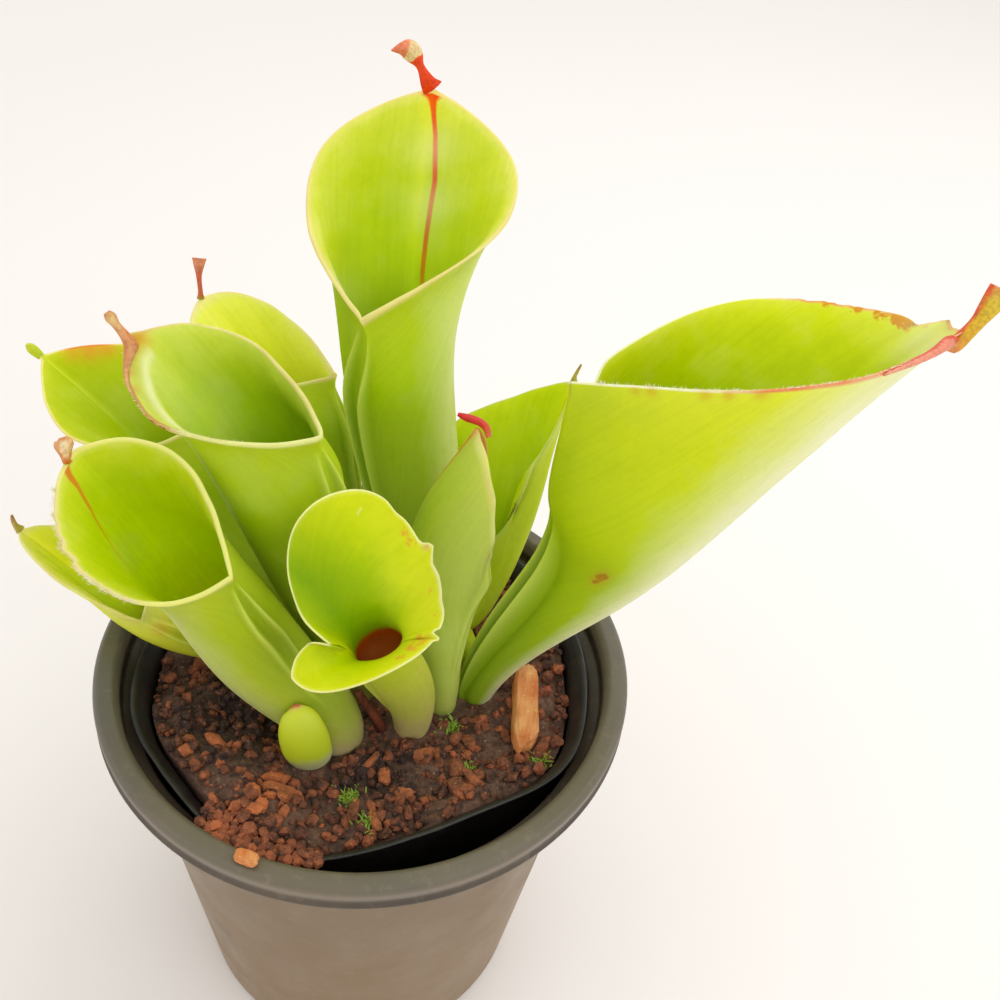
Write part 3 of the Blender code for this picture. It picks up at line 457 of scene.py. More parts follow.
leafLooks = {
    "pitcher_tall": {
        "inner": {0: (222, 222, 110), 2.5: (204, 214, 60), 9: (190, 206, 24), 18: (178, 200, 2),
            30: (176, 202, 0), 48: (172, 200, 0)},
        "outer": {0: (196, 188, 150), 0.14: (166, 184, 60), 0.5: (170, 198, 8), 0.88: (186, 204, 24),
            1: (200, 212, 60)},
        "band": {0: 0.9, 60: 0.8, 85: 0.5, 110: 0.2, 250: 0.2, 275: 0.5, 300: 0.8}, "blush": {0: 0.5},
        "lip": (234, 224, 150), "lipBlush": (224, 196, 130),
        "rib": ((1, 0, 1.9, 1), (0.965, -0.3, 0.8, 1), (0.93, -0.8, 0.55, 1), (0.87, -1.8, 0.5, 1),
            (0.77, -2.8, 0.5, 1), (0.68, -2.2, 0.5, 0.9), (0.6, -1.6, 0.5, 0.7), (0.52, -1.4, 0.4, 0),
            (0, -1, 0.4, 0)),
        "ribColors": ((226, 40, 0), (190, 84, 0)),
        "shade": {0: 0.15, 40: 0, 95: -0.75, 130: -0.3, 250: 0, 320: 0.55, 360: 0.2},
        # these pale soft spots on the inner skin, at both sides and beside the rib, are painted sheen
        "marks": (((224, 226, 176), 0, ((305, 6, 4, 0.75, 1), (300, 10, 3.5, 0.5, 1), (62, 7, 3.5, 0.75, 1),
            (168, 9, 4, 0.35, 1), (166, 18, 4, 0.3, 1))),),
        "spoonStops": {0: (236, 66, 12), 0.49: (234, 76, 18), 0.51: (232, 208, 150), 0.7: (228, 204, 146),
            0.73: (232, 140, 96), 1: (214, 120, 80)}},
    "pitcher_right": {
        "inner": {0: (214, 222, 60), 2: (206, 218, 20), 10: (196, 212, 0), 24: (176, 200, 0),
            45: (150, 182, 0)},
        "outer": {0: (140, 166, 40), 0.2: (156, 182, 24), 0.45: (186, 206, 14), 0.75: (208, 218, 30),
            1: (218, 224, 60)},
        "shade": {0: 0.35, 20: 0.4, 50: 0.1, 80: -0.05, 105: -0.5, 130: -1, 175: -0.8, 240: 0.2, 330: 0.5},
        "pale": (232, 234, 180),
        "band": {0: 0.15, 50: 0.15, 64: 0.3, 91: 0.8, 119: 1.6, 149: 2.2, 170: 2, 186: 0.5, 200: 0.4,
            218: 0.5, 251: 0.35, 266: 0.1, 340: 0.1, 360: 0.2},
        "lip": (240, 240, 200), "lipBlush": (220, 100, 80),
        "blush": {0: 0, 56: 0, 72: 0.7, 119: 1, 180: 1, 200: 0.8, 251: 0.8, 268: 0},
        "marks": (((196, 96, 44), 0, ((40, 0.5, 0.7, 0.35, 0), (45, 0.6, 0.8, 0.4, 0),
            (60, 0.5, 0.9, 0.4, 0), (66, 0.6, 0.9, 0.45, 0), (74, 0.6, 1, 0.4, 0))),
            ((196, 140, 50), 0, ((72, 40.4, 1.3, 0.8, 0), (69, 41.4, 1.2, 0.7, 0))),
            ((176, 92, 30), 1, ((72, 40.2, 1, 0.9, 0), (70, 41.2, 0.7, 0.8, 0))), ((204, 140, 44), 1,
            ((232, 0.3, 1, 0.9, 1), (225, 0.4, 1.1, 0.9, 1), (219, 0.6, 1.3, 1.1, 1), (215, 0.8, 1.2, 1, 1),
            (242, 0.3, 0.8, 0.8, 1), (206, 1.2, 0.9, 0.5, 1))), ((130, 80, 30), 0, ((199.5, 0.1, 0.5, 1, 1),
            (199.5, 0.1, 0.5, 1, 0), (213, 0.1, 0.5, 0.7, 1), (196, 0.3, 0.6, 0.6, 1))),
            # the last mark here, a pale soft spot on the inner skin, is painted sheen
            ((150, 176, 20), 0, ((72, 40.5, 4.5, 0.35, 0),)), ((228, 230, 190), 0, ((172, 4, 5, 0.7, 1),))),
        "spoonStops": {0: (234, 160, 130), 0.35: (226, 136, 108), 0.45: (220, 150, 70),
            0.55: (218, 176, 36), 0.85: (214, 190, 50), 1: (222, 160, 90)},
        "spoonSide": (218, 76, 48), "sideShare": 0.9},
    "pitcher_left_upper": {
        "inner": {0: (206, 216, 90), 1.5: (192, 208, 60), 6: (180, 200, 30), 12: (164, 192, 14),
            24: (176, 208, 12)},
        "paintedShadingIn": {0: 0.4, 40: 0.4, 110: 0.1, 150: -0.1, 215: -0.25, 290: 0.1, 330: 0.4},
        "dark": (96, 140, 10), "band": {0: 0.5, 60: 0.3, 150: 0.15, 190: 0.2, 257: 0.2, 300: 0.5},
        # a painted sheen line along the inner skin of the left lobe, where light glances off it
        "fold": ((0, 2, 0), (178, 2.2, 0), (188, 2.7, 0.55), (215, 2.9, 0.65), (245, 2.3, 0.65),
            (275, 1.5, 0.5), (300, 1, 0), (360, 1, 0)),
        "lip": (232, 234, 160), "lipBlush": (186, 140, 84),
        "blush": {0: 0.1, 40: 0.4, 180: 0.5, 192: 1, 257: 1, 272: 0.2},
        "marks": (((150, 78, 36), 1, ((205, 0.2, 0.9, 0.8, 0), (218, 0.2, 0.9, 0.9, 0),
            (232, 0.2, 0.9, 0.9, 0), (246, 0.2, 0.9, 0.9, 0), (256, 0.2, 0.8, 0.8, 0))), ((204, 130, 50), 0,
            ((184, 0.8, 1.6, 0.9, 1), (190, 0.8, 1.6, 0.8, 1), (200, 0.5, 1.1, 0.6, 1),
            (212, 0.4, 1, 0.5, 1), (226, 0.3, 0.9, 0.5, 1)))),
        "spoonStops": {0: (216, 190, 130), 0.25: (214, 160, 104), 0.55: (222, 160, 106),
            0.75: (230, 190, 130), 0.9: (232, 206, 142), 1: (206, 150, 80)},
        "spoonSide": (204, 116, 58), "sideShare": 0.55},
    "pitcher_left_lower": {
        "inner": {0: (210, 216, 90), 1.2: (192, 206, 24), 6: (178, 200, 0), 13: (188, 210, 0),
            20: (214, 236, 0), 34: (235, 250, 10)},
        "outer": {0: (190, 170, 120), 0.05: (184, 182, 96), 0.12: (172, 184, 60), 0.24: (174, 190, 46),
            0.5: (176, 196, 30), 0.9: (190, 204, 50), 1: (204, 214, 80)},
        "shade": {0: 0.3, 40: 0.1, 180: 0.2, 255: -0.8, 290: -0.3, 330: 0.1},
        "band": {0: 0.6, 60: 0.5, 130: 0.4, 175: 0.2, 200: 0.15, 222: 0.3, 280: 0.35, 300: 0.55},
        "lip": (222, 222, 130), "lipBlush": (222, 204, 150),
        "blush": {0: 0.1, 200: 0.2, 225: 1, 280: 0.9, 292: 0.1},
        "rib": ((1, 2.6, 0.7, 0.9), (0.95, 3.2, 0.5, 0.9), (0.9, 3.4, 0.35, 0.85), (0.82, 4.6, 0.33, 0.8),
            (0.755, 6.3, 0.3, 0.5), (0.68, 8, 0.3, 0.25), (0.62, 9, 0.3, 0), (0, 9, 0.3, 0)),
        "ribColors": ((206, 116, 30), (190, 140, 10)),
        "marks": (((150, 110, 70), 1, ((226, 0.3, 1, 0.8, 0), (240, 0.3, 1.1, 0.8, 0),
            (256, 0.3, 1.2, 0.8, 0), (270, 0.3, 0.9, 0.7, 0))), ((246, 244, 226), 1,
            ((232, 0.2, 1.2, 0.85, 0), (248, 0.2, 1.3, 0.85, 0), (262, 0.2, 1.2, 0.85, 0),
            (276, 0.2, 1, 0.7, 0)))),
        "spoonStops": {0: (206, 96, 10), 0.25: (214, 120, 36), 0.42: (236, 206, 150), 0.8: (240, 222, 176),
            1: (210, 146, 80)},
        "spoonSide": (214, 140, 64), "sideShare": 0.8},
    "pitcher_front": {
        "inner": {0: (226, 230, 90), 0.6: (206, 216, 14), 5: (194, 210, 0), 11: (166, 192, 0),
            18: (144, 176, 0), 30: (132, 160, 0)},
        "outer": {0: (200, 176, 130), 0.12: (192, 190, 90), 0.35: (186, 198, 50), 0.8: (190, 206, 24),
            1: (206, 218, 60)},
        "paintedShadingIn": {0: 0.2, 60: 0.1, 110: -0.1, 150: -0.2, 215: -0.2, 245: 0, 275: 0.4, 310: 0.9, 345: 0.6},
        "dark": (122, 160, 0), "pale": (226, 228, 60), "band": {0: 0.1}, "lip": (238, 238, 160),
        "lipBlush": (222, 206, 120), "throat": (0.43, (186, 96, 16), (150, 52, 8)),
        "marks": (((218, 170, 50), 1, ((204, 1.2, 1, 0.7, 1), (210, 1.4, 0.9, 0.6, 1),
            (183, 1.6, 0.8, 0.55, 1), (170, 1.4, 0.7, 0.5, 1), (142, 1.8, 1.3, 0.8, 1),
            (134, 2, 1.3, 0.8, 1), (122, 1.6, 0.9, 0.6, 1))),
            ((210, 150, 110), 0, ((194, 0.5, 0.6, 0.8, 1),)),
            ((232, 240, 150), 0, ((243, 3.2, 0.12, 0.4, 1), (241, 2.9, 0.12, 0.4, 1))))},
    "pitcher_back_left": {
        "inner": {0: (230, 230, 130), 1.5: (224, 230, 80), 8: (220, 226, 50), 25: (206, 218, 16)},
        "band": {0: 0.5, 40: 0.4, 90: 0.2, 300: 0.2, 330: 0.5},
        "spoonStops": {0: (176, 170, 60), 0.18: (206, 110, 70), 0.5: (200, 100, 64), 0.75: (222, 144, 104),
            1: (214, 140, 100)}},
    "pitcher_far_left": {
        "inner": {0: (200, 208, 40), 2: (186, 202, 6), 10: (174, 194, 0), 25: (156, 182, 0)},
        "band": {0: 0.3, 40: 0.3, 90: 0.12, 120: 0.2, 135: 0.4, 150: 0.2, 180: 0.1, 300: 0.15, 330: 0.3},
        "lipBlush": (222, 110, 40), "blush": {0: 0.1, 118: 0.1, 127: 0.9, 146: 0.9, 155: 0.1},
        "rib": ((1, 0, 0.6, 0.2), (0.8, 0, 0.5, 0.15), (0.6, 0, 0.4, 0), (0, 0, 0.4, 0)),
        "ribColors": ((214, 220, 120), (190, 205, 80)),
        "marks": (((224, 120, 40), 0,
            ((125, 0.8, 2, 0.55, 1), (135, 0.8, 2.4, 0.6, 1), (146, 0.8, 2, 0.45, 1))),),
        "spoonStops": {0: (190, 210, 20), 0.5: (196, 212, 30), 1: (202, 212, 70)}, "mottle": 0.1},
    "pitcher_low_left": {
        "inner": {0: (216, 216, 110), 1.5: (214, 218, 50), 8: (200, 212, 14), 20: (184, 202, 0)},
        "outer": {0: (200, 200, 120), 0.2: (204, 210, 40), 0.6: (218, 220, 70), 1: (228, 228, 110)},
        "band": {0: 0.2, 180: 0.2}, "lip": (220, 222, 130),
        "marks": (((222, 150, 60), 0, ((355, 3, 1.4, 0.4, 0),)),),
        "spoonStops": {0: (200, 200, 90), 0.5: (190, 160, 80), 1: (160, 110, 70)}},
    "pitcher_young": {
        "inner": {0: (214, 220, 130), 2: (196, 210, 70), 20: (150, 180, 10)},
        "outer": {0: (170, 186, 60), 0.3: (166, 190, 40), 0.7: (182, 202, 60), 1: (200, 212, 90)},
        "shade": {0: -0.4, 150: 0.1, 180: 0.3, 215: 0.1, 260: -0.25}, "pale": (214, 222, 130),
        "band": {0: 1.3, 180: 1.3}, "lip": (226, 226, 140), "lipBlush": (206, 134, 74),
        "blush": {0: 0.1, 40: 0.4, 60: 0.9, 176: 1, 192: 0.6, 206: 0, 360: 0},
        "rib": ((1, 0, 0.5, 0.95), (0.85, 0, 0.5, 0.8), (0.6, 0, 0.5, 0.6), (0.4, 0, 0.5, 0.3),
            (0.25, 0, 0.5, 0), (0, 0, 0.5, 0)),
        "ribColors": ((206, 110, 40), (190, 130, 30)), "ribSkin": 0,
        "spoonStops": {0: (214, 120, 70), 0.3: (214, 66, 46), 1: (206, 40, 36)}},
    "pitcher_back_right": {
        "inner": {0: (206, 222, 20), 2: (200, 218, 0), 10: (196, 216, 0), 25: (180, 206, 0)},
        "outer": {0: (190, 206, 40), 0.3: (200, 214, 30), 0.8: (206, 218, 60), 1: (214, 222, 100)},
        "band": {0: 0.8, 40: 1, 110: 1, 150: 0.6, 175: 0.2, 200: 0.1, 330: 0.2}, "lip": (196, 210, 110),
        "lipBlush": (180, 190, 80),
        "spoonStops": {0: (200, 210, 80), 0.5: (196, 190, 80), 1: (180, 160, 80)}},
}


def mouthEdge(leaf, turn):
    # reach = sin^2(turn/2) of the way from notch to tip; each lobe stands out sideways by
    # wide * reach^a * (1-reach)^b, 1 at its widest, is lifted by 4 reach (1-reach) and pushed forward
    notch, tip = np.array(leaf["notch"], float), np.array(leaf["tip"], float)
    length = np.linalg.norm(tip - notch)
    along = (tip - notch) / length
    right = unit(np.cross(along, (0, 0, 1)))
    up = np.cross(right, along)
    right, up = turnedBy(right, up, leaf["roll"])
    reach = np.sin(turn / 2) ** 2
    atNotch, atTip = leaf["sharp"]
    peak = atNotch / (atNotch + atTip)
    width = reach ** atNotch * (1 - reach) ** atTip / (peak ** atNotch * (1 - peak) ** atTip)
    isRight = turn < math.pi
    wide, lift, forward = (np.where(isRight, *leaf[key]) for key in ("wide", "lift", "forward"))
    rim = (notch + np.outer(reach * length - forward * width * (1 - reach), along)
           + np.outer(np.where(isRight, wide, -wide) * width, right)
           + np.outer(4 * reach * (1 - reach) * lift, up))
    middle = (notch + tip) / 2
    outward = unit(rim - middle - ((rim - middle) @ up)[:, None] * up)
    degrees = np.degrees(turn)
    loop = np.stack([np.cos(turn), np.sin(turn), np.full_like(turn, sum(leaf["foot"]))], axis=-1)
    for way, size, share, seed in ((outward, 0.35, 2, 3), (up, 0.3, 2.4, 4)):
        rim = rim + way * (leaf["wave"] * share * (softNoise(loop, size, seed) - 0.5))[:, None]
    for at, half, out, high in leaf["bumps"]:
        rim = rim + bell(degrees - at, half)[:, None] * (out * outward + high * up)
    for at, half, shift in leaf["pulls"]:
        rim = rim + bell((degrees - at + 180) % 360 - 180, half)[:, None] * np.array(shift)
    return rim, notch, along, up, outward


def leafRings(leaf, turn):
    # tube: an ellipse carried along a bent (Hermite) spine from the foot to the throat, its half widths
    # growing as s^grow plus a belly of sin(pi s); bowl: a Bezier from each throat point out to the rim
    rim, notch, along, up, outward = mouthEdge(leaf, turn)
    footAcross, footThrough = leaf["footRadius"]
    foot = np.array([*leaf["foot"], levels["soil"]])
    back = unit(np.array([along[0], along[1], 0]))
    down = unit(foot - footThrough * back - notch)
    endWay = unit(-(1 - leaf["aim"]) * down + leaf["aim"] * up)
    endBack = unit(along - (along @ endWay) * endWay)
    throatAcross, throatThrough = leaf["throat"]
    throat = notch + leaf["below"] * down + (throatThrough + leaf["inset"]) * endBack
    span = np.linalg.norm(throat - foot)
    startWay = unit(np.array([0, 0, 1]) + leaf["lean"] * back)
    sway = np.array(leaf["sway"])
    s = np.linspace(0, 1, leaf["tubeRows"])[:, None]
    spine = ((2 * s**3 - 3 * s**2 + 1) * foot + (s**3 - 2 * s**2 + s) * span * startWay
             + (3 * s**2 - 2 * s**3) * throat + (s**3 - s**2) * span * endWay
             + np.sin(math.pi * s) ** 2 * sway)
    way = unit((6 * s**2 - 6 * s) * foot + (3 * s**2 - 4 * s + 1) * span * startWay
               + (6 * s - 6 * s**2) * throat + (3 * s**2 - 2 * s) * span * endWay
               + math.pi * np.sin(2 * math.pi * s) * sway)
    backs = unit((1 - s) * back + s * endBack)
    backs = unit(backs - (backs * way).sum(axis=1, keepdims=True) * way)
    rights = np.cross(backs, way)
    swell = leaf["belly"] * np.sin(math.pi * s)
    across = footAcross + (throatAcross - footAcross) * s ** leaf["grow"] + swell
    through = footThrough + (throatThrough - footThrough) * s ** leaf["grow"] + swell
    tube = (spine[:, None] - (through * np.cos(turn))[..., None] * backs[:, None]
            + (across * np.sin(turn))[..., None] * rights[:, None])
    start = tube[-1]
    leaving = unit(start - tube[int(round(0.8 * (len(tube) - 1)))])
    reach = np.linalg.norm(rim - start, axis=1, keepdims=True)
    arriving = unit(unit(rim - start) + 0.6 * math.tan(math.radians(leaf["flare"])) * outward)
    q = (1 - (1 - np.linspace(0, 1, leaf["bowlRows"] + 1)[1:]) ** 1.25)[:, None, None]
    away, back = leaf["bow"]
    bowl = ((1 - q)**3 * start + 3 * (1 - q)**2 * q * (start + away * reach * leaving)
            + 3 * (1 - q) * q**2 * (rim - back * reach * arriving) + q**3 * rim)
    sunk = tube[:1] * (1, 1, 0) + (0, 0, levels["foot"])
    sunk = sunk - sunk.mean(axis=1, keepdims=True) + (*leaf["foot"], levels["foot"])
    rows = np.concatenate([tube, bowl])
    near = bell(np.arange(len(rows)) - len(tube) + 1, 9)[1:-1, None, None]
    for _ in range(30):  # eases the bend where tube and bowl meet
        rows[1:-1] += 0.25 * near * (rows[:-2] - 2 * rows[1:-1] + rows[2:])
    return np.concatenate([sunk, rows]), arriving


def aroundFrom(rings, column):
    # signed length along each ring from one column, both ways round
    steps = np.linalg.norm(np.roll(rings, -1, axis=1) - rings, axis=-1)
    ahead = np.roll(steps, -column, axis=1)
    total = ahead.sum(axis=1, keepdims=True)
    length = np.concatenate([np.zeros((len(rings), 1)), np.cumsum(ahead, axis=1)[:, :-1]], axis=1)
    return np.roll(np.where(length > total / 2, length - total, length), column, axis=1)


def pitcherShell(leaf):
    # outer skin with two low wings beside the front seam (bells across, sin(pi share)^fade along), a lip
    # that is half a round, and an inner skin one wall inside; the rim is flared, rolled and torn by bells
    # of the distance from it
    count = leaf["columns"]
    even = circle(count)
    turn = even - 0.4 * np.sin(even)
    degrees = np.degrees(turn)
    outer, arriving = leafRings(leaf, turn)
    rise = np.linspace(0, 1, len(outer))[:, None] * np.ones(count)
    toMiddle = unit(outer.mean(axis=1, keepdims=True) - outer)
    around = np.roll(outer, -1, axis=1) - np.roll(outer, 1, axis=1)
    normal = unit(np.cross(around, np.gradient(outer, axis=0)))
    normal = np.where((normal * toMiddle).sum(axis=-1, keepdims=True) > 0, normal, -normal)
    fromSeam = np.minimum(np.minimum(turn, 2 * math.pi - turn), 1.3 * np.abs(turn - math.pi))
    seam = bell(fromSeam, 0.45)[None, :, None]
    inward = unit((1 - seam) * normal + seam * toMiddle)

    lengths = np.linalg.norm(np.diff(outer, axis=0), axis=-1)
    depth = np.concatenate([np.cumsum(lengths[::-1], axis=0)[::-1], np.zeros((1, count))])
    loop = np.stack([np.cos(turn) * 20, np.sin(turn) * 20, np.full(count, 5.0)], axis=-1)
    tear = between(leaf["ragged"], degrees) * (0.7 * softNoise(loop, 1.1, 5) + 0.6 * softNoise(loop, 0.5, 6)
                                               + 0.5 * softNoise(loop, 0.25, 7) - 0.9)
    outer = outer + np.exp(-depth / 1.6)[..., None] * (tear[:, None] * arriving)[None]
    flared = between(leaf["flared"], degrees) * bell(depth, 1.9)
    outer = outer - flared[..., None] * (inward + 0.25 * arriving)
    low, high = leaf["wingSpan"]
    wing = leaf["wing"] * np.sin(math.pi * np.clip((rise - low) / (high - low), 0, 1)) ** leaf["wingFade"]
    fromWings = (degrees - leaf["wingTurn"] * (1 - rise) + 180) % 360 - 180
    ridge = sum(bell(fromWings - at, leaf["wingHalf"]) for at in (leaf["wingAt"], -leaf["wingAt"]))
    wall = leaf["wall"] - 0.25 * np.exp(-depth / 4)
    puckers = 0.10 * (softNoise(outer, 3.0, 8) - 0.5) * ease(rise, 0.1, 0.5)
    inner = outer + (wall + puckers)[..., None] * inward
    rolled = between(leaf["rolled"], degrees) * bell(depth, 0.75)
    outer = outer - (wing * ridge + rolled - puckers)[..., None] * inward
    keep = int(1 + leaf["tubeRows"] * leaf["hollowFrom"])
    inner = inner[keep:]

    middle = (outer[-1] + inner[-1]) / 2
    half = (outer[-1] - inner[-1]) / 2
    full = np.linalg.norm(half, axis=-1, keepdims=True)
    phase = np.linspace(0, math.pi, 9)[1:-1, None, None]
    lip = middle + np.cos(phase) * half + np.sin(phase) * full * arriving
    shell = np.concatenate([outer, lip, inner[::-1]])
    flat = np.zeros(lip.shape[:2])
    lipShare = np.linspace(0, 1, len(lip))[:, None] * np.ones(count)
    fields = {
        "depth": np.concatenate([depth, flat, depth[keep:][::-1]]),
        "rise": np.concatenate([rise, flat + 1, rise[keep:][::-1]]),
        "inside": np.concatenate([0 * rise, lipShare, 0 * rise[keep:] + 1]),
        "rib": aroundFrom(shell, count // 2),
        "crest": np.concatenate([wing * ridge**2 / leaf["wing"], flat, 0 * rise[keep:]]),
    }
    return shell, fields, turn, lip[len(lip) // 2], outer[-5]


def spotField(shell, fields, turn, spots):
    # soft round spots, each by its angle, depth under the rim, half width, strength and skin (0 out, 1 in)
    total = np.zeros(shell.shape[:2])
    for at, depth, half, strength, skin in spots:
        column = int(np.argmin(np.abs(np.degrees(turn) - at)))
        miss = np.abs(fields["depth"][:, column] - depth) + 100 * np.abs(fields["inside"][:, column] - skin)
        away = np.linalg.norm(shell - shell[int(np.argmin(miss)), column], axis=-1)
        sameSkin = 1 - np.abs(fields["inside"] - skin)
        total = np.maximum(total, strength * sameSkin * bell(away, half))
    return total


def leafFinish(name, look):
    # inner skin coloured by distance from the rim, outer skin by height; then painted shade and light by
    # angle, rib, a painted sheen line, lip and marks, some of them painted sheen
    f = Finish(name, Roughness=0.45, Subsurface_Weight=0.6, Subsurface_Scale=0.0016,
               Subsurface_Radius=(1.0, 1.0, 0.25), Specular_IOR_Level=0.1)
    patches = f.noise(140, 3)
    veins = f.noise(1.0, 2, vector=f.stretched(f.field("skin", "Vector"), (1.1, 0.07, 1.0)))
    depth, inside, rise = f.field("depth"), f.field("inside"), f.field("rise")
    blurred = f.plus(depth, f.times(f.remap(depth, 0.3, 4), f.spread(patches, -1.5, 1.5)))
    deepest = max(look["inner"])
    inner = f.ramp(f.times(blurred, 1 / deepest), {d / deepest: c for d, c in look["inner"].items()})
    outer = f.ramp(f.plus(rise, f.spread(patches, -0.04, 0.04)), look["outer"])
    color = f.mix(inside, outer, inner)
    # painted shading: above 0 mixes toward the dark colour as painted shade, below 0 toward the pale colour
    # as painted light
    shade = f.plus(f.field("shade"), f.spread(patches, -0.08, 0.08))
    color = f.mix(f.remap(shade, 0, 1), color, look["dark"])
    color = f.mix(f.remap(shade, 0, -1), color, look["pale"])
    if look["throat"]:
        at, brown, deep = look["throat"]
        hole = f.remap(f.plus(rise, f.spread(patches, -0.01, 0.01)), at, at - 0.02)
        color = f.mix(f.times(hole, inside), color, f.mix(f.remap(rise, at, at - 0.2), brown, deep))
    color = f.tinted(f.remap(veins, 0.40, 0.64, 0.0, 0.12), color, 0.5, (110, 160, 10))
    color = f.tinted(f.remap(f.noise(900, 3), 0.45, 0.75, 0.0, 0.10), color, 0.5, (100, 140, 10))
    color = f.mix(f.times(f.field("crest"), 0.6), color, look["crest"])
    onRib = f.remap(f.math("ABSOLUTE", f.field("ribAway")), 0.7, 1.4, 1, 0)
    ribColor = f.mix(f.remap(rise, 0.98, 0.7), *look["ribColors"])
    color = f.mix(f.times(onRib, f.field("ribShare")), color, ribColor)
    # painted sheen: a pale soft line on the inner skin
    color = f.mix(f.field("fold"), color, look["paintedSheenColor"])
    lipColor = f.mix(f.plus(f.field("blush"), f.spread(patches, -0.2, 0.2)), look["lip"], look["lipBlush"])
    color = f.mix(f.remap(f.field("lipAway"), 0.3, 1.3, 0.9, 0), color, lipColor)
    # marks: blotches of the leaf's own colour, and on two leaves pale soft spots of painted sheen
    for i, (markColor, grit, _) in enumerate(look["marks"]):
        share = f.field(f"mark{i}")
        if grit:
            share = f.remap(f.times(share, f.remap(f.noise(1100, 4, 0.7), 0.35, 0.6, 0.35, 1.5)), 0.3, 0.62)
        color = f.mix(share, color, markColor)
    height = f.plus(f.times(veins, 0.7), f.times(f.noise(900, 2), 0.3))
    return f.finish(color, f.spread(patches, 0.36, 0.5), height, 0.2, 0.25)


def spoonSkin(spoon, rim, degrees, rows=49, sides=28):
    # nectar spoon: a flattened ellipse carried off the back of the mouth, its edges bent down by
    # bend * cos^2 of the angle, so that the end forms a small hood
    lip = [(*(rim[np.abs(degrees - at).argmin()] + spoon.get("lipShift", (0, 0, 0))), *numbers)
           for at, *numbers in spoon.get("lip", ())]
    given = np.array([*lip, *spoon["path"]], float)
    path = curveThrough(given[:, :3], rows)
    half, thick, bend = np.maximum(curveThrough(given[:, 3:], rows), 0.05).T[..., None]
    way = unit(np.gradient(path, axis=0))
    wide = unit(np.cross(unit(np.array(spoonFacing) - path), way))
    flat, tall = np.cos(circle(sides)), np.sin(circle(sides))
    through = thick * tall - bend * flat**2
    high = np.cross(way, wide)
    rings = path[:, None] + (half * flat)[..., None] * wide[:, None] + through[..., None] * high[:, None]
    along = np.linspace(0, 1, rows)[:, None] * np.ones(sides)
    side = np.abs(flat) if spoon.get("bothSides") else flat
    return rings, {"along": along, "side": side * np.ones((rows, 1))}


def spoonFinish(name, look):
    # colour by the way along the spoon, with one side in a second colour
    f = Finish(name, Roughness=0.4, Subsurface_Weight=0.3, Subsurface_Scale=0.001, Specular_IOR_Level=0.3)
    wander = f.noise(700, 4)
    color = f.ramp(f.plus(f.field("along"), f.spread(wander, -0.02, 0.02)), look["spoonStops"])
    side = f.remap(f.plus(f.field("side"), f.spread(wander, -0.3, 0.3)), 0.3, 0.8, 0, look["sideShare"])
    color = f.mix(side, color, look["spoonSide"])
    color = f.tinted(f.remap(f.noise(1600, 3), 0.45, 0.6, 0, look["mottle"]), color, 0.6, (160, 90, 50))
    return f.finish(color, f.spread(wander, 0.3, 0.5), wander, 0.3, 0.1)


def threeSided(path, width, across, through):
    # thin blades or hairs: three-sided sections of given half widths along each path, closed at both ends
    phase = np.array([0, 2.1, 4.2])[:, None]
    ring = np.cos(phase) * across[:, None, None] + np.sin(phase) * through[:, None, None]
    points = (path[:, :, None] + width[None, :, None, None] * ring).reshape(-1, 3)
    index, quads = ringQuads(len(width), 3)
    starts = index.size * np.arange(len(path))[:, None, None]
    faces = (quads[None] + starts).reshape(-1, 4).tolist()
    faces += (np.array([index[0, ::-1], index[-1]])[None] + starts).reshape(-1, 3).tolist()
    return points, faces


# Hairs on a lip: from and to which angle, how many and how long
fringes = {"pitcher_right": (26, 122, 170, 1.0), "pitcher_left_upper": (200, 300, 90, 1.0),
           "pitcher_left_lower": (212, 286, 200, 1.8)}


def addFringe(node, name, slot, turn, rim, below):
    # short pale hairs on part of the lip, each leaning a little at random from the lip's own direction
    rng = np.random.default_rng(21)
    low, high, count, longer = fringes[node]
    at = np.radians(rng.uniform(low, high, count))
    root, under = (np.stack([np.interp(at, turn, line[:, i]) for i in range(3)], axis=-1)
                   for line in (rim, below))
    way = unit(unit(root - under) + rng.normal(0, 0.4, (count, 3)))
    side = unit(np.cross(way, (0.3, 0.2, 1.0)))
    reach = longer * rng.uniform(0.25, 0.6, count)[:, None, None] * np.array([-0.3, 0.5, 1.0])[:, None]
    width = np.array([0.045, 0.035, 0.01])
    points, faces = threeSided(root[:, None] + reach * way[:, None], width, side, np.cross(way, side))
    f = Finish(name + "Hair", Roughness=0.5, Subsurface_Weight=0.3, Subsurface_Scale=0.0005)
    tone = f.mix(f.remap(f.noise(300, 2), 0.35, 0.65), (244, 240, 214), (226, 208, 160))
    addPiece(name + "Fringe", points, faces, f.finish(tone), node, slot, smooth=False)


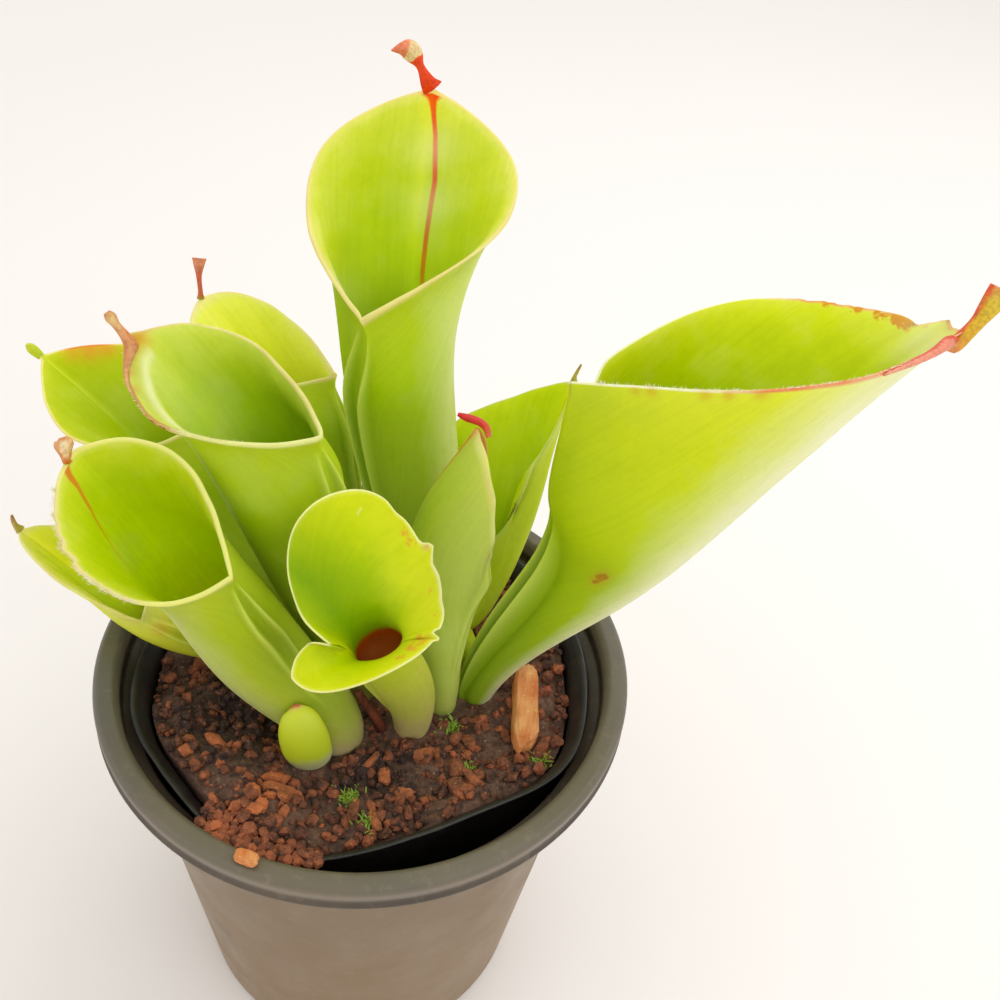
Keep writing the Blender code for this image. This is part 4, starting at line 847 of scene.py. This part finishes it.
def addPitcher(node):
    # the leaf with its colour fields, then its fringe and its spoon
    leaf = {**leafDefaults, **leafSizes[node]}
    look = {**lookDefaults, **leafLooks[node]}
    shell, fields, turn, rim, below = pitcherShell(leaf)
    degrees, inside, rise = np.degrees(turn), fields["inside"], fields["rise"]
    at, shift, half, share = np.array(look["rib"], float)[::-1].T
    fields["ribAway"] = (fields["rib"] - np.interp(rise, at, shift)) / np.interp(rise, at, half)
    fields["ribShare"] = np.interp(rise, at, share) * (inside if look["ribSkin"] else 1 - inside)
    fields["lipAway"] = fields["depth"] / between(look["band"], degrees)
    fields["blush"] = between(look["blush"], degrees) * np.ones(shell.shape[:2])
    # painted shading by angle: the outside's table on the outer skin, the inside's on the inner; shade
    # above 0, light below
    shade, paintedShadingIn = (between(look[key], degrees) for key in ("shade", "paintedShadingIn"))
    fields["shade"] = shade * (1 - inside) + paintedShadingIn * inside
    for i, (_, _, spots) in enumerate(look["marks"]):
        fields[f"mark{i}"] = spotField(shell, fields, turn, spots)
    # painted sheen: a pale soft line on the inner skin at a depth under the rim set by angle
    sheenAt, sheenDepth, sheenShare = np.array(look["fold"], float).T
    away = fields["depth"] - np.interp(degrees, sheenAt, sheenDepth)
    fields["fold"] = bell(away, 0.8) * np.interp(degrees, sheenAt, sheenShare) * inside
    fields["skin"] = np.stack([fields["rib"], fields["depth"], 3 * inside + sum(leaf["foot"])], axis=-1)
    first, *words = node.split("_")
    name = first + "".join(word.title() for word in words)
    slot = "young_leaf" if node in ("pitcher_young", "pitcher_back_right") else "leaf"
    addSkin(name, shell, leafFinish(name + "Skin", look), node, slot, fields)
    if node in fringes:
        addFringe(node, name, slot, turn, rim, below)
    if node in spoonSizes:
        rings, spoonFields = spoonSkin(spoonSizes[node], rim, degrees)
        addSkin(name + "Spoon", rings, spoonFinish(name + "SpoonSkin", look), node, slot, spoonFields)


for node in leafSizes:
    addPitcher(node)
print("stage: pitchers")


# Outer pot.  profile: radius and height from the inner floor corner over the rim to the underside.
potSizes = {"profile": ((29.1, 1.6), (38.6, 72.8), (40.7, 73.4), (41.0, 77.2), (41.8, 78.0), (44.1, 78.0),
                        (44.9, 77.1), (44.5, 74.7), (45.0, 73.9), (44.3, 73.0), (40.5, 72.8), (39.6, 71.6),
                        (31.3, 1.4), (30.3, 0)),
            "soften": 0.45, "floor": 1.6, "floorDisc": 11.0, "drains": 6, "drainRadius": 2.6,
            "drainCircle": 21.0, "steps": 144}


def softenedProfile(points, soften):
    # each inner corner of the outline becomes a small curve (quadratic Bezier) between two points near it
    p = np.asarray(points, float)
    corner, before, after = p[1:-1], p[:-2], p[2:]
    a, b = (corner + np.minimum(soften, 0.4 * np.linalg.norm(way, axis=1))[:, None] * unit(way)
            for way in (before - corner, after - corner))
    t = np.linspace(0, 1, 5)[None, :, None]
    curves = (1 - t) ** 2 * a[:, None] + 2 * t * (1 - t) * corner[:, None] + t**2 * b[:, None]
    return np.concatenate([p[:1], curves.reshape(-1, 2), p[-1:]])


def longSteps(profile, longest):
    # more points on the outline's long straight stretches
    lengths = np.concatenate([[0], np.cumsum(np.linalg.norm(np.diff(profile, axis=0), axis=1))])
    extra = [np.linspace(a, b, int((b - a) / longest) + 2)[1:-1] for a, b in zip(lengths, lengths[1:])]
    at = np.sort(np.concatenate([lengths, *extra]))
    return np.stack([np.interp(at, lengths, profile[:, i]) for i in (0, 1)], axis=-1)


def turned(profile, steps):
    # the outline carried round the upright axis
    r, z = profile[:, 0, None], profile[:, 1, None]
    return np.stack([r * np.cos(circle(steps)), r * np.sin(circle(steps)), z + np.zeros(steps)], axis=-1)


def floorSector(outerRadius, innerRadius, z):
    # one sixth of the floor with its hole: rows from the hole's circle out to the sector's border,
    # each border point joined to the hole's edge at the same bearing
    wedge = 2 * math.pi / potSizes["drains"]
    a = np.linspace(0, wedge, potSizes["steps"] // potSizes["drains"] + 1)
    r = np.linspace(innerRadius, outerRadius, 7)
    sides = ((outerRadius, a), (r[::-1], wedge), (innerRadius, a[::-1]), (r, 0))
    border = np.concatenate([np.stack([far * np.cos(at), far * np.sin(at)], axis=-1)[:-1]
                             for far, at in sides])
    middle = potSizes["drainCircle"] * np.array([math.cos(wedge / 2), math.sin(wedge / 2)])
    hole = middle + potSizes["drainRadius"] * unit(border - middle)
    v = np.linspace(0, 1, 5)[:, None, None]
    flat = hole * (1 - v) + border * v
    return np.concatenate([flat, np.full((*flat.shape[:2], 1), z)], axis=-1)


def addPot():
    # turned wall, and a floor of six sectors round a middle disc, with a short wall in each drain hole
    outline = longSteps(softenedProfile(potSizes["profile"], potSizes["soften"]), 3.0)
    steps, inner, top = potSizes["steps"], potSizes["floorDisc"], potSizes["floor"]
    grids = [turned(outline, steps)]
    for z, reach in ((top, outline[0, 0]), (0.0, outline[-1, 0])):
        grids.append(turned(np.array([(inner, z), (inner * 0.6, z), (inner * 0.3, z), (0.01, z)]), steps))
        for a in circle(potSizes["drains"]):
            spin = np.array([[math.cos(a), math.sin(a), 0], [-math.sin(a), math.cos(a), 0], [0, 0, 1]])
            sector = floorSector(reach, inner, z) @ spin
            grids.append(sector)
            if z == top:
                grids.append(np.stack([sector[0], sector[0] * (1, 1, 0)]))
    faces, count = [], 0
    for grid in grids:
        faces += (ringQuads(*grid.shape[:2])[1] + count).tolist()
        count += grid.shape[0] * grid.shape[1]
    points = np.concatenate([grid.reshape(-1, 3) for grid in grids])
    addPiece("potShell", points, faces, potFinish(), "pot", "outer_pot", sharpFrom=50)


def potFinish():
    # brown-grey moulded plastic: greyer collar, warmer towards the foot, faint flow marks, dust and
    # smudges;
    # by height a painted highlight on the collar's side and a painted shadow under the collar
    f = Finish("potPlastic", Specular_IOR_Level=0.5)
    height = f.remap(f.node("SeparateXYZ", {0: f.place()})[2], 0, 0.080)
    # the ramp by height paints light and shade on the collar: the dark band from 72.9 to 75 mm is painted
    # shadow under the collar, and the lighter band above it, on the collar's side, is a painted highlight
    wall = f.ramp(height, {
        0: (134, 108, 74), 0.5: (126, 102, 72), 0.86: (118, 98, 72), 0.905: (104, 86, 66),
        0.911: (48, 42, 38), 0.937: (48, 42, 38), 0.948: (118, 108, 96), 0.962: (118, 108, 96),
        0.968: (92, 88, 74), 1: (94, 90, 76)})
    cloud = f.noise(28, 4, 0.6)
    color = f.mix(f.remap(cloud, 0.35, 0.7, 0, 0.3), wall, (140, 120, 92))
    dust = f.remap(f.noise(420, 5, 0.7), 0.56, 0.72)
    color = f.mix(f.times(dust, 0.16), color, (176, 160, 132))
    smudge = f.remap(f.noise(60, 3, 0.6, f.place((1, 1, 0.6))), 0.66, 0.75)
    color = f.mix(f.times(smudge, 0.45), color, (92, 72, 48))
    rough = f.spread(f.noise(90, 4), 0.36, 0.52)
    return f.finish(color, rough, f.plus(f.noise(1500, 2), f.times(cloud, 3)), 0.12, 0.15)


# Inner pot: thin and soft, its rim pressed out of round.  rim: radius at each angle.
innerSizes = {"rim": {0: 38.2, 27: 38.4, 72: 38.6, 117: 38.0, 162: 38.6, 184: 38.3, 206: 40.0, 228: 38.2,
                      241: 40.0, 254: 40.4, 266: 39.8, 281: 36.4, 300: 34.8, 315: 35.4, 333: 39.8},
              "top": 75.6, "bottom": 1.9, "wall": 0.9, "neck": 0.95, "neckAt": 73.0, "taper": 0.70,
              "steps": 144}


def innerOutline(turn):
    # radius of the soft rim: the given points, eased over a few degrees
    rim = innerSizes["rim"]
    return np.mean([np.interp(np.degrees(turn) + d, list(rim), list(rim.values()), period=360)
                    for d in np.linspace(-10, 10, 9)], axis=0)


def innerRing(turn, z, inset):
    # full at the rim, drawn in to the neck, then tapering straight to the bottom
    top, neck, neckAt = innerSizes["top"], innerSizes["neck"], innerSizes["neckAt"]
    share = neck + (1 - neck) * np.clip((z - neckAt) / (top - neckAt), 0, 1)
    below = np.clip((neckAt - z) / neckAt, 0, 1)
    radius = innerOutline(turn) * (share - (neck - innerSizes["taper"]) * below) - inset
    return np.stack([radius * np.cos(turn), radius * np.sin(turn), np.full_like(turn, z)], axis=-1)


def addInnerPot():
    # outer skin up, a rolled rim, inner skin down to the floor
    turn = circle(innerSizes["steps"])
    top, low, wall = innerSizes["top"], innerSizes["bottom"], innerSizes["wall"]
    up = np.array([low, low + 0.5, 15, 30, 45, 60, 70, 72.5, 73.2, 74, 74.8, top - 0.35])
    rows = [(low, 0.6), *((z, 0) for z in up[1:]), (top - 0.1, 0.12), (top, 0.4), (top - 0.1, wall - 0.15),
            *((max(z, low + wall), wall) for z in up[::-1])]
    rings = np.array([innerRing(turn, z, inset) for z, inset in rows])
    ripple = 0.14 * (softNoise(rings, 4.0, 9) - 0.5) * np.clip((rings[..., 2] - 50) / 20, 0, 1)
    rings[..., :2] *= (1 + ripple / 38)[..., None]
    f = Finish("innerPlastic", Specular_IOR_Level=0.5)
    scuff = f.noise(160, 4, 0.6)
    dirt = f.remap(f.noise(500, 4, 0.7), 0.5, 0.68)
    color = f.mix(f.remap(scuff, 0.35, 0.7, 0, 0.5), (26, 25, 26), (48, 46, 44))
    color = f.mix(f.times(dirt, 0.35), color, (72, 56, 42))
    finish = f.finish(color, f.spread(scuff, 0.32, 0.55), scuff, 0.25, 0.2)
    addSkin("innerPotShell", rings, finish, "inner_pot", "inner_pot")


# Soil and what lies on it.  heaps: x, y, height and spread.  lumps: height, size and seed.  Shade patches
# and
# orange: x, y and spread of earth painted darker as shade under the overhanging pitchers, and of orange
# bark.
# spilt: crumbs over the soft rim, between two angles.
# crumbEdge, splinterEdge: how far they stay from the pot's wall.  otherFeet: bud and stalk, with radii.
soilSizes = {"edgeInset": 1.35, "bottom": 3.1, "heaps": ((-22, -24, 3.2, 190), (-13, -35, 2.6, 120)),
             "lumps": ((1.5, 4.2, 21), (0.9, 1.6, 22)), "damp": ((-20, -13, 150), (4, -20, 40)),
             "orange": (-13, -32, 170), "crumbs": 2600, "crumbEdge": 1.6, "crumbLargest": 1.35,
             "spilt": 260, "spiltAt": (240, 269), "otherFeet": ((-6, -19.6, 2.0), (4.5, -11, 0.9)),
             "splinters": 120, "splinterEdge": 3.0, "splinterClear": 2.5, "splinterSmall": (0.9, 0.5, 0.35),
             "splinterLarge": (2.6, 1.2, 0.8), "chipCount": 16, "chipField": 30.5, "chipClear": 8.5,
             "chipSmall": (2.2, 1.5, 1.2), "chipLarge": (5, 3, 2.2), "largeChip": (27.8, -4.2, 73.4),
             "largeChipSize": (4.4, 15.5, 3.4), "rimChip": (-10.5, -41.5), "rimChipSize": (3.6, 2, 1.3),
             "moss": ((15.5, -8.5), (5, -29.5), (30.5, -13.5), (19.5, -17), (1.5, -25.5), (24, 13)),
             "mossBlades": 110, "mossSpread": 0.85}


def mound(x, y, middleX, middleY, spread):
    # 1 at the middle, falling off as exp(-distance^2 / spread)
    return np.exp(-((x - middleX) ** 2 + (y - middleY) ** 2) / spread)


def soilHeight(x, y):
    # two crossed sine waves and a double heap at the front left, flattened to a hollow round the crown
    rise = 0.5 * np.sin(0.31 * x + 1.0) * np.cos(0.27 * y) + 0.4 * np.sin(0.17 * x - 0.35 * y + 2.0)
    for middleX, middleY, height, spread in soilSizes["heaps"]:
        rise = rise + height * mound(x, y, middleX, middleY, spread)
    hollow = np.clip((np.hypot(x - levels["crown"][0], y - levels["crown"][1]) - 14) / 12, 0, 1)
    return levels["soil"] + rise * hollow - 0.5 * (1 - hollow)


def lumpySoil(x, y):
    # the soil's height with layers of noise on it
    height, place = soilHeight(x, y), np.stack([x, y, 0 * x], axis=-1)
    for high, size, seed in soilSizes["lumps"]:
        height = height + high * (softNoise(place, size, seed) - 0.5)
    return height


def lumpShape(rows, sides):
    # a rough ball of radius 1: rings by latitude, closed at the poles
    lat = np.linspace(-math.pi / 2, math.pi / 2, rows + 2)[1:-1, None]
    lon = circle(sides)
    points, faces = closedSkin(np.stack([np.cos(lat) * np.cos(lon), np.cos(lat) * np.sin(lon),
                                         np.sin(lat) + 0 * lon], axis=-1))
    points[-2:] = ((0, 0, -1), (0, 0, 1))
    return points, faces


def squared(wave, power):
    # a sine or cosine pressed toward -1 and 1, so that a round section becomes squarish
    return np.sign(wave) * np.abs(wave) ** power


def splinterShape():
    # a squared stick of half size 1: seven sections along x, drawn in and slanted at the ends
    s = np.linspace(-1, 1, 7)[:, None]
    fit = 1 - 0.45 * np.abs(s) ** 5
    side, rise = squared(np.cos(circle(8)), 0.6), squared(np.sin(circle(8)), 0.6)
    return closedSkin(np.stack([s + 0.1 * side * s**2, fit * side, fit * rise], axis=-1))


def anyTurns(rng, count):
    # rotation matrices from random unit quaternions
    w, x, y, z = unit(rng.normal(size=(count, 4))).T
    rows = [[1 - 2 * (y * y + z * z), 2 * (x * y - z * w), 2 * (x * z + y * w)],
            [2 * (x * y + z * w), 1 - 2 * (x * x + z * z), 2 * (y * z - x * w)],
            [2 * (x * z - y * w), 2 * (y * z + x * w), 1 - 2 * (x * x + y * y)]]
    return np.moveaxis(np.array(rows), -1, 0)


def flatTurns(rng, count, tilt):
    # rotation about the upright axis, with a small random tilt
    a, (b, c) = rng.uniform(0, 2 * math.pi, count), rng.uniform(-tilt, tilt, (2, count))
    zero, one = 0 * a, 1 + 0 * a
    spin = np.array([[np.cos(a), -np.sin(a), zero], [np.sin(a), np.cos(a), zero], [zero, zero, one]])
    lean = np.array([[one, zero, b], [zero, one, c], [-b, -c, one]])
    return np.einsum("ijn,jkn->nik", spin, lean)


def turnOf(a, b, c):
    # rotation about x, then y, then z
    return np.array(Matrix.Rotation(c, 3, "Z") @ Matrix.Rotation(b, 3, "Y") @ Matrix.Rotation(a, 3, "X"))


def scattered(shape, rng, places, turns, sizes, rough):
    # copies of a small shape, each roughened, scaled, turned and moved
    points, faces = shape
    count = len(points)
    base = points * (1 + rng.uniform(-rough, rough, (len(places), count, 1)))
    moved = np.einsum("nij,nkj->nki", turns, base * sizes[:, None]) + places[:, None]
    faces = [[v + i * count for v in face] for i in range(len(places)) for face in faces]
    return moved.reshape(-1, 3), faces, count


def soilFinish(name, dark, warm, stretch=(1, 1, 1), rough=0.9):
    # earth or bark: dark to warm by the piece's own tint and by grain, with dusty specks
    f = Finish(name, Specular_IOR_Level=0.25)
    grain = f.noise(700, 6, 0.7, f.place(stretch))
    blend = f.plus(f.times(f.field("tint"), 0.8), f.spread(grain, -0.3, 0.45))
    speck = f.remap(f.noise(1500, 3, 0.6), 0.62, 0.72)
    color = f.mix(f.times(speck, 0.35), f.mix(f.remap(blend, 0, 1), dark, warm),
                  tuple(min(255, c * 1.5 + 18) for c in warm))
    return f.finish(color, f.spread(grain, rough, rough - 0.25), grain, 0.7, 0.5)


def paintedShadeShare(x, y):
    # painted shade: the earth is darker under the overhanging pitchers, behind the bud and in front of the
    # crown
    return np.clip(sum(mound(x, y, *spot) for spot in soilSizes["damp"]), 0, 1)


def orangeShare(x, y):
    # bark is more orange on the heap at the front left
    return 0.15 + 0.85 * mound(x, y, *soilSizes["orange"])


def addGround():
    # closed body of the soil: side rows, then the top drawn in to its middle in rings
    turn, inset = circle(180), soilSizes["edgeInset"]
    side = [innerRing(turn, z, inset) for z in (soilSizes["bottom"], 20, 40, 60, 68, 71)]
    share = np.linspace(1, 0.01, 90)[:, None]
    top = innerRing(turn, levels["soil"], inset) * np.stack([share, share, 1 + 0 * share], axis=-1)
    top[..., 2] = lumpySoil(top[..., 0], top[..., 1]) - 0.7 * ease(share, 0.9, 1.0)
    points, faces = closedSkin(np.concatenate([np.array(side), top]))
    # the tint is lowered as painted shade under the overhanging pitchers
    tint = (0.35 * softNoise(points, 5, 31) + 0.3 * softNoise(points, 1.2, 32)
            - 0.5 * paintedShadeShare(*points.T[:2]))
    finish = soilFinish("peat", (66, 50, 44), (146, 108, 86))
    addPiece("soilGround", points, faces, finish, "soil", "soil", {"tint": tint})


def clearOfShoots(x, y):
    # distance to the nearest shoot that stands in the soil, less the radius kept clear round it
    feet = [(*size["foot"], max({**leafDefaults, **size}["footRadius"])) for size in leafSizes.values()]
    footX, footY, radius = np.array([*feet, *soilSizes["otherFeet"]]).T
    x, y = np.asarray(x)[..., None], np.asarray(y)[..., None]
    away = np.hypot(x - footX, y - footY)
    return away.min(axis=-1), (away - radius).min(axis=-1)


def addCrumbs():
    # loose earth: small lumps all over, and some heaped over the soft rim where it touches the outer pot
    rng = np.random.default_rng(11)
    count, edge = soilSizes["crumbs"], soilSizes["crumbEdge"]
    a = rng.uniform(0, 2 * math.pi, count)
    reach = (innerOutline(a) * innerSizes["neck"] - edge) * np.sqrt(rng.uniform(0.0, 1, count))
    spilt = np.radians(rng.uniform(*soilSizes["spiltAt"], soilSizes["spilt"]))
    a = np.concatenate([a, spilt])
    reach = np.concatenate([reach, innerOutline(spilt) - rng.uniform(-0.5, 3.5, len(spilt))])
    x, y = reach * np.cos(a), reach * np.sin(a)
    size = rng.uniform(0.25, 1.0, len(a)) ** 1.8 * soilSizes["crumbLargest"]
    keep = clearOfShoots(x, y)[1] > size * 0.7
    x, y, size = x[keep], y[keep], size[keep]
    nearRim = np.hypot(x, y) > innerOutline(np.arctan2(y, x)) - edge
    height = lumpySoil(x, y)
    height = np.where(nearRim, np.maximum(height, innerSizes["top"] - 0.2), height)
    places = np.stack([x, y, height + 0.25 * size], axis=-1)
    sizes = size[:, None] * rng.uniform(0.55, 1.1, (len(x), 3))
    points, faces, each = scattered(lumpShape(3, 6), rng, places, anyTurns(rng, len(x)), sizes, 0.22)
    # the crumbs' tint is lowered as painted shade under the overhanging pitchers
    tint = (rng.uniform(0, 0.75, len(x)) ** 1.5 + 0.6 * orangeShare(x, y) * rng.uniform(0, 1, len(x))
            - 0.4 * paintedShadeShare(x, y))
    finish = soilFinish("crumb", (64, 49, 44), (188, 108, 68))
    tint = {"tint": np.repeat(tint, each)}
    addPiece("soilCrumbs", points, faces, finish, "soil", "soil", tint, smooth=False)


def largerChips():
    # places, sizes and turns of the larger chips: seeded draws in a disc, kept clear of the shoots
    rng = np.random.default_rng(7)
    places, sizes, turns = [], [], []
    while len(places) < soilSizes["chipCount"]:
        angle = rng.uniform(0, 2 * math.pi)
        radius = soilSizes["chipField"] * math.sqrt(rng.uniform(0.02, 1))
        x, y = radius * math.cos(angle), radius * math.sin(angle)
        size = rng.uniform(soilSizes["chipSmall"], soilSizes["chipLarge"])
        tilt = (rng.uniform(-0.35, 0.35), rng.uniform(-0.35, 0.35), rng.uniform(0, math.pi))
        if clearOfShoots(x, y)[0] >= soilSizes["chipClear"]:
            places.append((x, y, soilHeight(x, y) + 0.3 * size[2]))
            sizes.append(size / 2)
            turns.append(turnOf(*tilt))
    return places, sizes, turns


def addChips():
    # the larger chips and a scatter of splinters, more of them where the bark is orange
    rng = np.random.default_rng(12)
    places, sizes, turns = largerChips()
    count = soilSizes["splinters"]
    a = rng.uniform(0, 2 * math.pi, count)
    inner = innerOutline(a) * innerSizes["neck"] - soilSizes["splinterEdge"]
    reach = inner * np.sqrt(rng.uniform(0, 1, count))
    x, y = reach * np.cos(a), reach * np.sin(a)
    clear = clearOfShoots(x, y)[1] > soilSizes["splinterClear"]
    keep = clear & (rng.uniform(0, 1, count) < 0.35 + 0.65 * orangeShare(x, y))
    x, y = x[keep], y[keep]
    small = rng.uniform(soilSizes["splinterSmall"], soilSizes["splinterLarge"], (len(x), 3))
    places = np.concatenate([places, np.stack([x, y, lumpySoil(x, y) + 0.4], axis=-1)])
    sizes = np.concatenate([sizes, small])
    turns = np.concatenate([turns, flatTurns(rng, len(x), 0.5)])
    points, faces, each = scattered(splinterShape(), rng, places, turns, sizes, 0.13)
    tint = np.repeat(rng.uniform(0.0, 0.45, len(places)) + 0.6 * orangeShare(*places.T[:2]), each)
    finish = soilFinish("bark", (92, 62, 46), (206, 118, 70))
    addPiece("barkChips", points, faces, finish, "soil", "bark", {"tint": tint}, smooth=False)


def barkPiece(name, node, place, size, tilt, finish, seed):
    # one larger chip: a squared, slanted stick whose skin is broken along its length into fibres
    s = np.linspace(-1, 1, 40)[:, None]
    fit = 1 - 0.5 * np.abs(s) ** 7
    side, rise = squared(np.cos(circle(48)), 0.45), squared(np.sin(circle(48)), 0.55)
    rings = np.stack([fit * side, s + 0.06 * side + 0.05 * rise, fit * rise], axis=-1)
    fine = softNoise(rings * (20, 3, 20), 1.0, seed + 1) - 0.5
    fibres = softNoise(rings * (9, 1.2, 9), 1.0, seed) - 0.5 + 0.6 * fine
    rings[..., 0] *= 1 + 0.16 * fibres
    rings[..., 2] *= 1 + 0.30 * fibres
    rings[..., 1] += 0.14 * (softNoise(rings * (6, 0.1, 6), 1.0, seed + 2) - 0.5) * np.abs(s) ** 3
    rings = (rings * (np.array(size) / 2)) @ turnOf(*tilt).T + place
    addSkin(name, rings, finish, node, "bark", {"tint": 0.3 + 0.9 * softNoise(rings, 2.2, seed + 3)})


def addMoss():
    # each tuft is a tuft of small bent blades: three-sided sections that narrow from root to tip
    rng = np.random.default_rng(13)
    root = np.repeat(np.array(soilSizes["moss"]), soilSizes["mossBlades"], axis=0)
    count = len(root)
    root = root + rng.normal(0, soilSizes["mossSpread"], (count, 2))
    z = lumpySoil(*root.T) - 0.2
    height = rng.uniform(0.5, 1.3, count)[:, None]
    lean = rng.normal(0, 0.5, (count, 2))
    s = np.array([0, 0.35, 0.7, 1.0])
    bent = s**2 * height
    path = np.stack([root[:, :1] + lean[:, :1] * bent, root[:, 1:] + lean[:, 1:] * bent,
                     z[:, None] + height * s], axis=-1)
    flat = (np.tile(side, (count, 1)) for side in ((1.0, 0, 0), (0, 1.0, 0)))
    points, faces = threeSided(path, np.array([0.16, 0.20, 0.14, 0.02]), *flat)
    f = Finish("mossGreen", Roughness=0.6, Subsurface_Weight=0.2, Subsurface_Scale=0.0005)
    color = f.mix(f.remap(f.field("tint"), 0.1, 1), (96, 116, 40), (160, 196, 64))
    finish = f.finish(f.mix(f.remap(f.noise(600, 2), 0.4, 0.7, 0, 0.4), color, (98, 112, 40)))
    addPiece("mossTufts", points, faces, finish, "soil", "soil", {"tint": np.tile(np.repeat(s, 3), count)},
             smooth=False)


addPot()
addInnerPot()
print("stage: pots")
addGround()
addCrumbs()
addChips()
paleBark = soilFinish("paleBark", (196, 96, 40), (232, 168, 104), (1, 0.25, 1), 0.8)
barkPiece("largeChip", "soil", soilSizes["largeChip"], soilSizes["largeChipSize"], (0.1, 0.12, 0.08),
          paleBark, 41)
x, y = soilSizes["rimChip"]
long, wide, thick = soilSizes["rimChipSize"]
barkPiece("rimChip", "bark_on_rim", (x, y, levels["potTop"] + 0.3 + thick / 2), (wide, long, thick),
          (0, 0, math.atan2(y, x)), paleBark, 51)
addMoss()
print("stage: soil, bark and moss")


# Closed bud and dry stalk.  path: points and half widths across and through.
budPath = ((-6, -19.2, 62, 2.0, 1.8), (-6, -19.2, 71.5, 2.2, 1.9), (-6, -19.8, 74.4, 3.5, 2.2),
           (-6.3, -20.4, 77.5, 3.9, 2.4), (-6.9, -20.4, 81.5, 3.7, 2.1), (-7.5, -19.8, 84.6, 2.6, 1.5),
           (-8, -19.2, 86.1, 0.5, 0.4))
stalkPath = ((4.5, -11, 62, 0.9, 0.9), (4.4, -11, 71, 0.9, 0.9), (3.4, -11.3, 75, 0.8, 0.8),
             (1.6, -11.8, 79, 0.7, 0.7), (0.4, -12, 82, 0.6, 0.6))


def carriedOval(given, rows, sides):
    # an ellipse carried along a smooth path, its half widths eased from point to point
    carried = curveThrough(given, rows)
    path, radii = carried[:, :3], carried[:, 3:]
    way = unit(np.gradient(path, axis=0))
    wide = unit(np.array([1.0, 0.2, 0.0]) - (way @ (1.0, 0.2, 0.0))[:, None] * way)
    phase = circle(sides)
    rings = (path[:, None] + (radii[:, :1] * np.cos(phase))[..., None] * wide[:, None]
             + (radii[:, 1:] * np.sin(phase))[..., None] * np.cross(way, wide)[:, None])
    return rings, phase, np.linspace(0, 1, rows)[:, None] * np.ones(sides)


def addBud():
    # the closed leaf: brown at its foot, yellow-green above, reddish at the tip
    rings, _, rise = carriedOval(budPath, 56, 48)
    f = Finish("budSkin", Roughness=0.42, Subsurface_Weight=0.4, Subsurface_Scale=0.0015,
               Subsurface_Radius=(1.0, 1.0, 0.35))
    wander = f.noise(200, 3)
    color = f.ramp(f.plus(f.field("rise"), f.spread(wander, -0.03, 0.03)), {
        0: (200, 195, 160), 0.38: (204, 206, 150), 0.5: (196, 212, 40), 0.93: (206, 216, 40),
        0.97: (212, 196, 80), 1: (200, 110, 70)})
    finish = f.finish(color, f.spread(wander, 0.38, 0.52), f.noise(700, 3), 0.2, 0.2)
    addSkin("budSkin", rings, finish, "leaf_bud", "young_leaf", {"rise": rise})


def addStalk():
    # the dry stalk is wrinkled along its length
    rings, phase, rise = carriedOval(stalkPath, 60, 20)
    middle = rings.mean(axis=1, keepdims=True)
    place = np.stack([3 * np.cos(phase) + 0 * rise, 3 * np.sin(phase) + 0 * rise, 14 * rise], axis=-1)
    wrinkle = 0.25 * (softNoise(place, 1.0, 61) - 0.5)
    rings = middle + (rings - middle) * (1 + wrinkle[..., None])
    f = Finish("dryStalk", Specular_IOR_Level=0.3)
    fibre = f.noise(500, 5, 0.65, f.place((1, 1, 0.3)))
    color = f.mix(f.remap(fibre, 0.3, 0.7), (62, 26, 16), (128, 66, 42))
    finish = f.finish(color, f.spread(fibre, 0.85, 0.6), fibre, 0.6, 0.3)
    addSkin("dryStalkSkin", rings, finish, "dry_stalk", "dry_leaf")


addBud()
addStalk()
print("stage: bud and stalk")
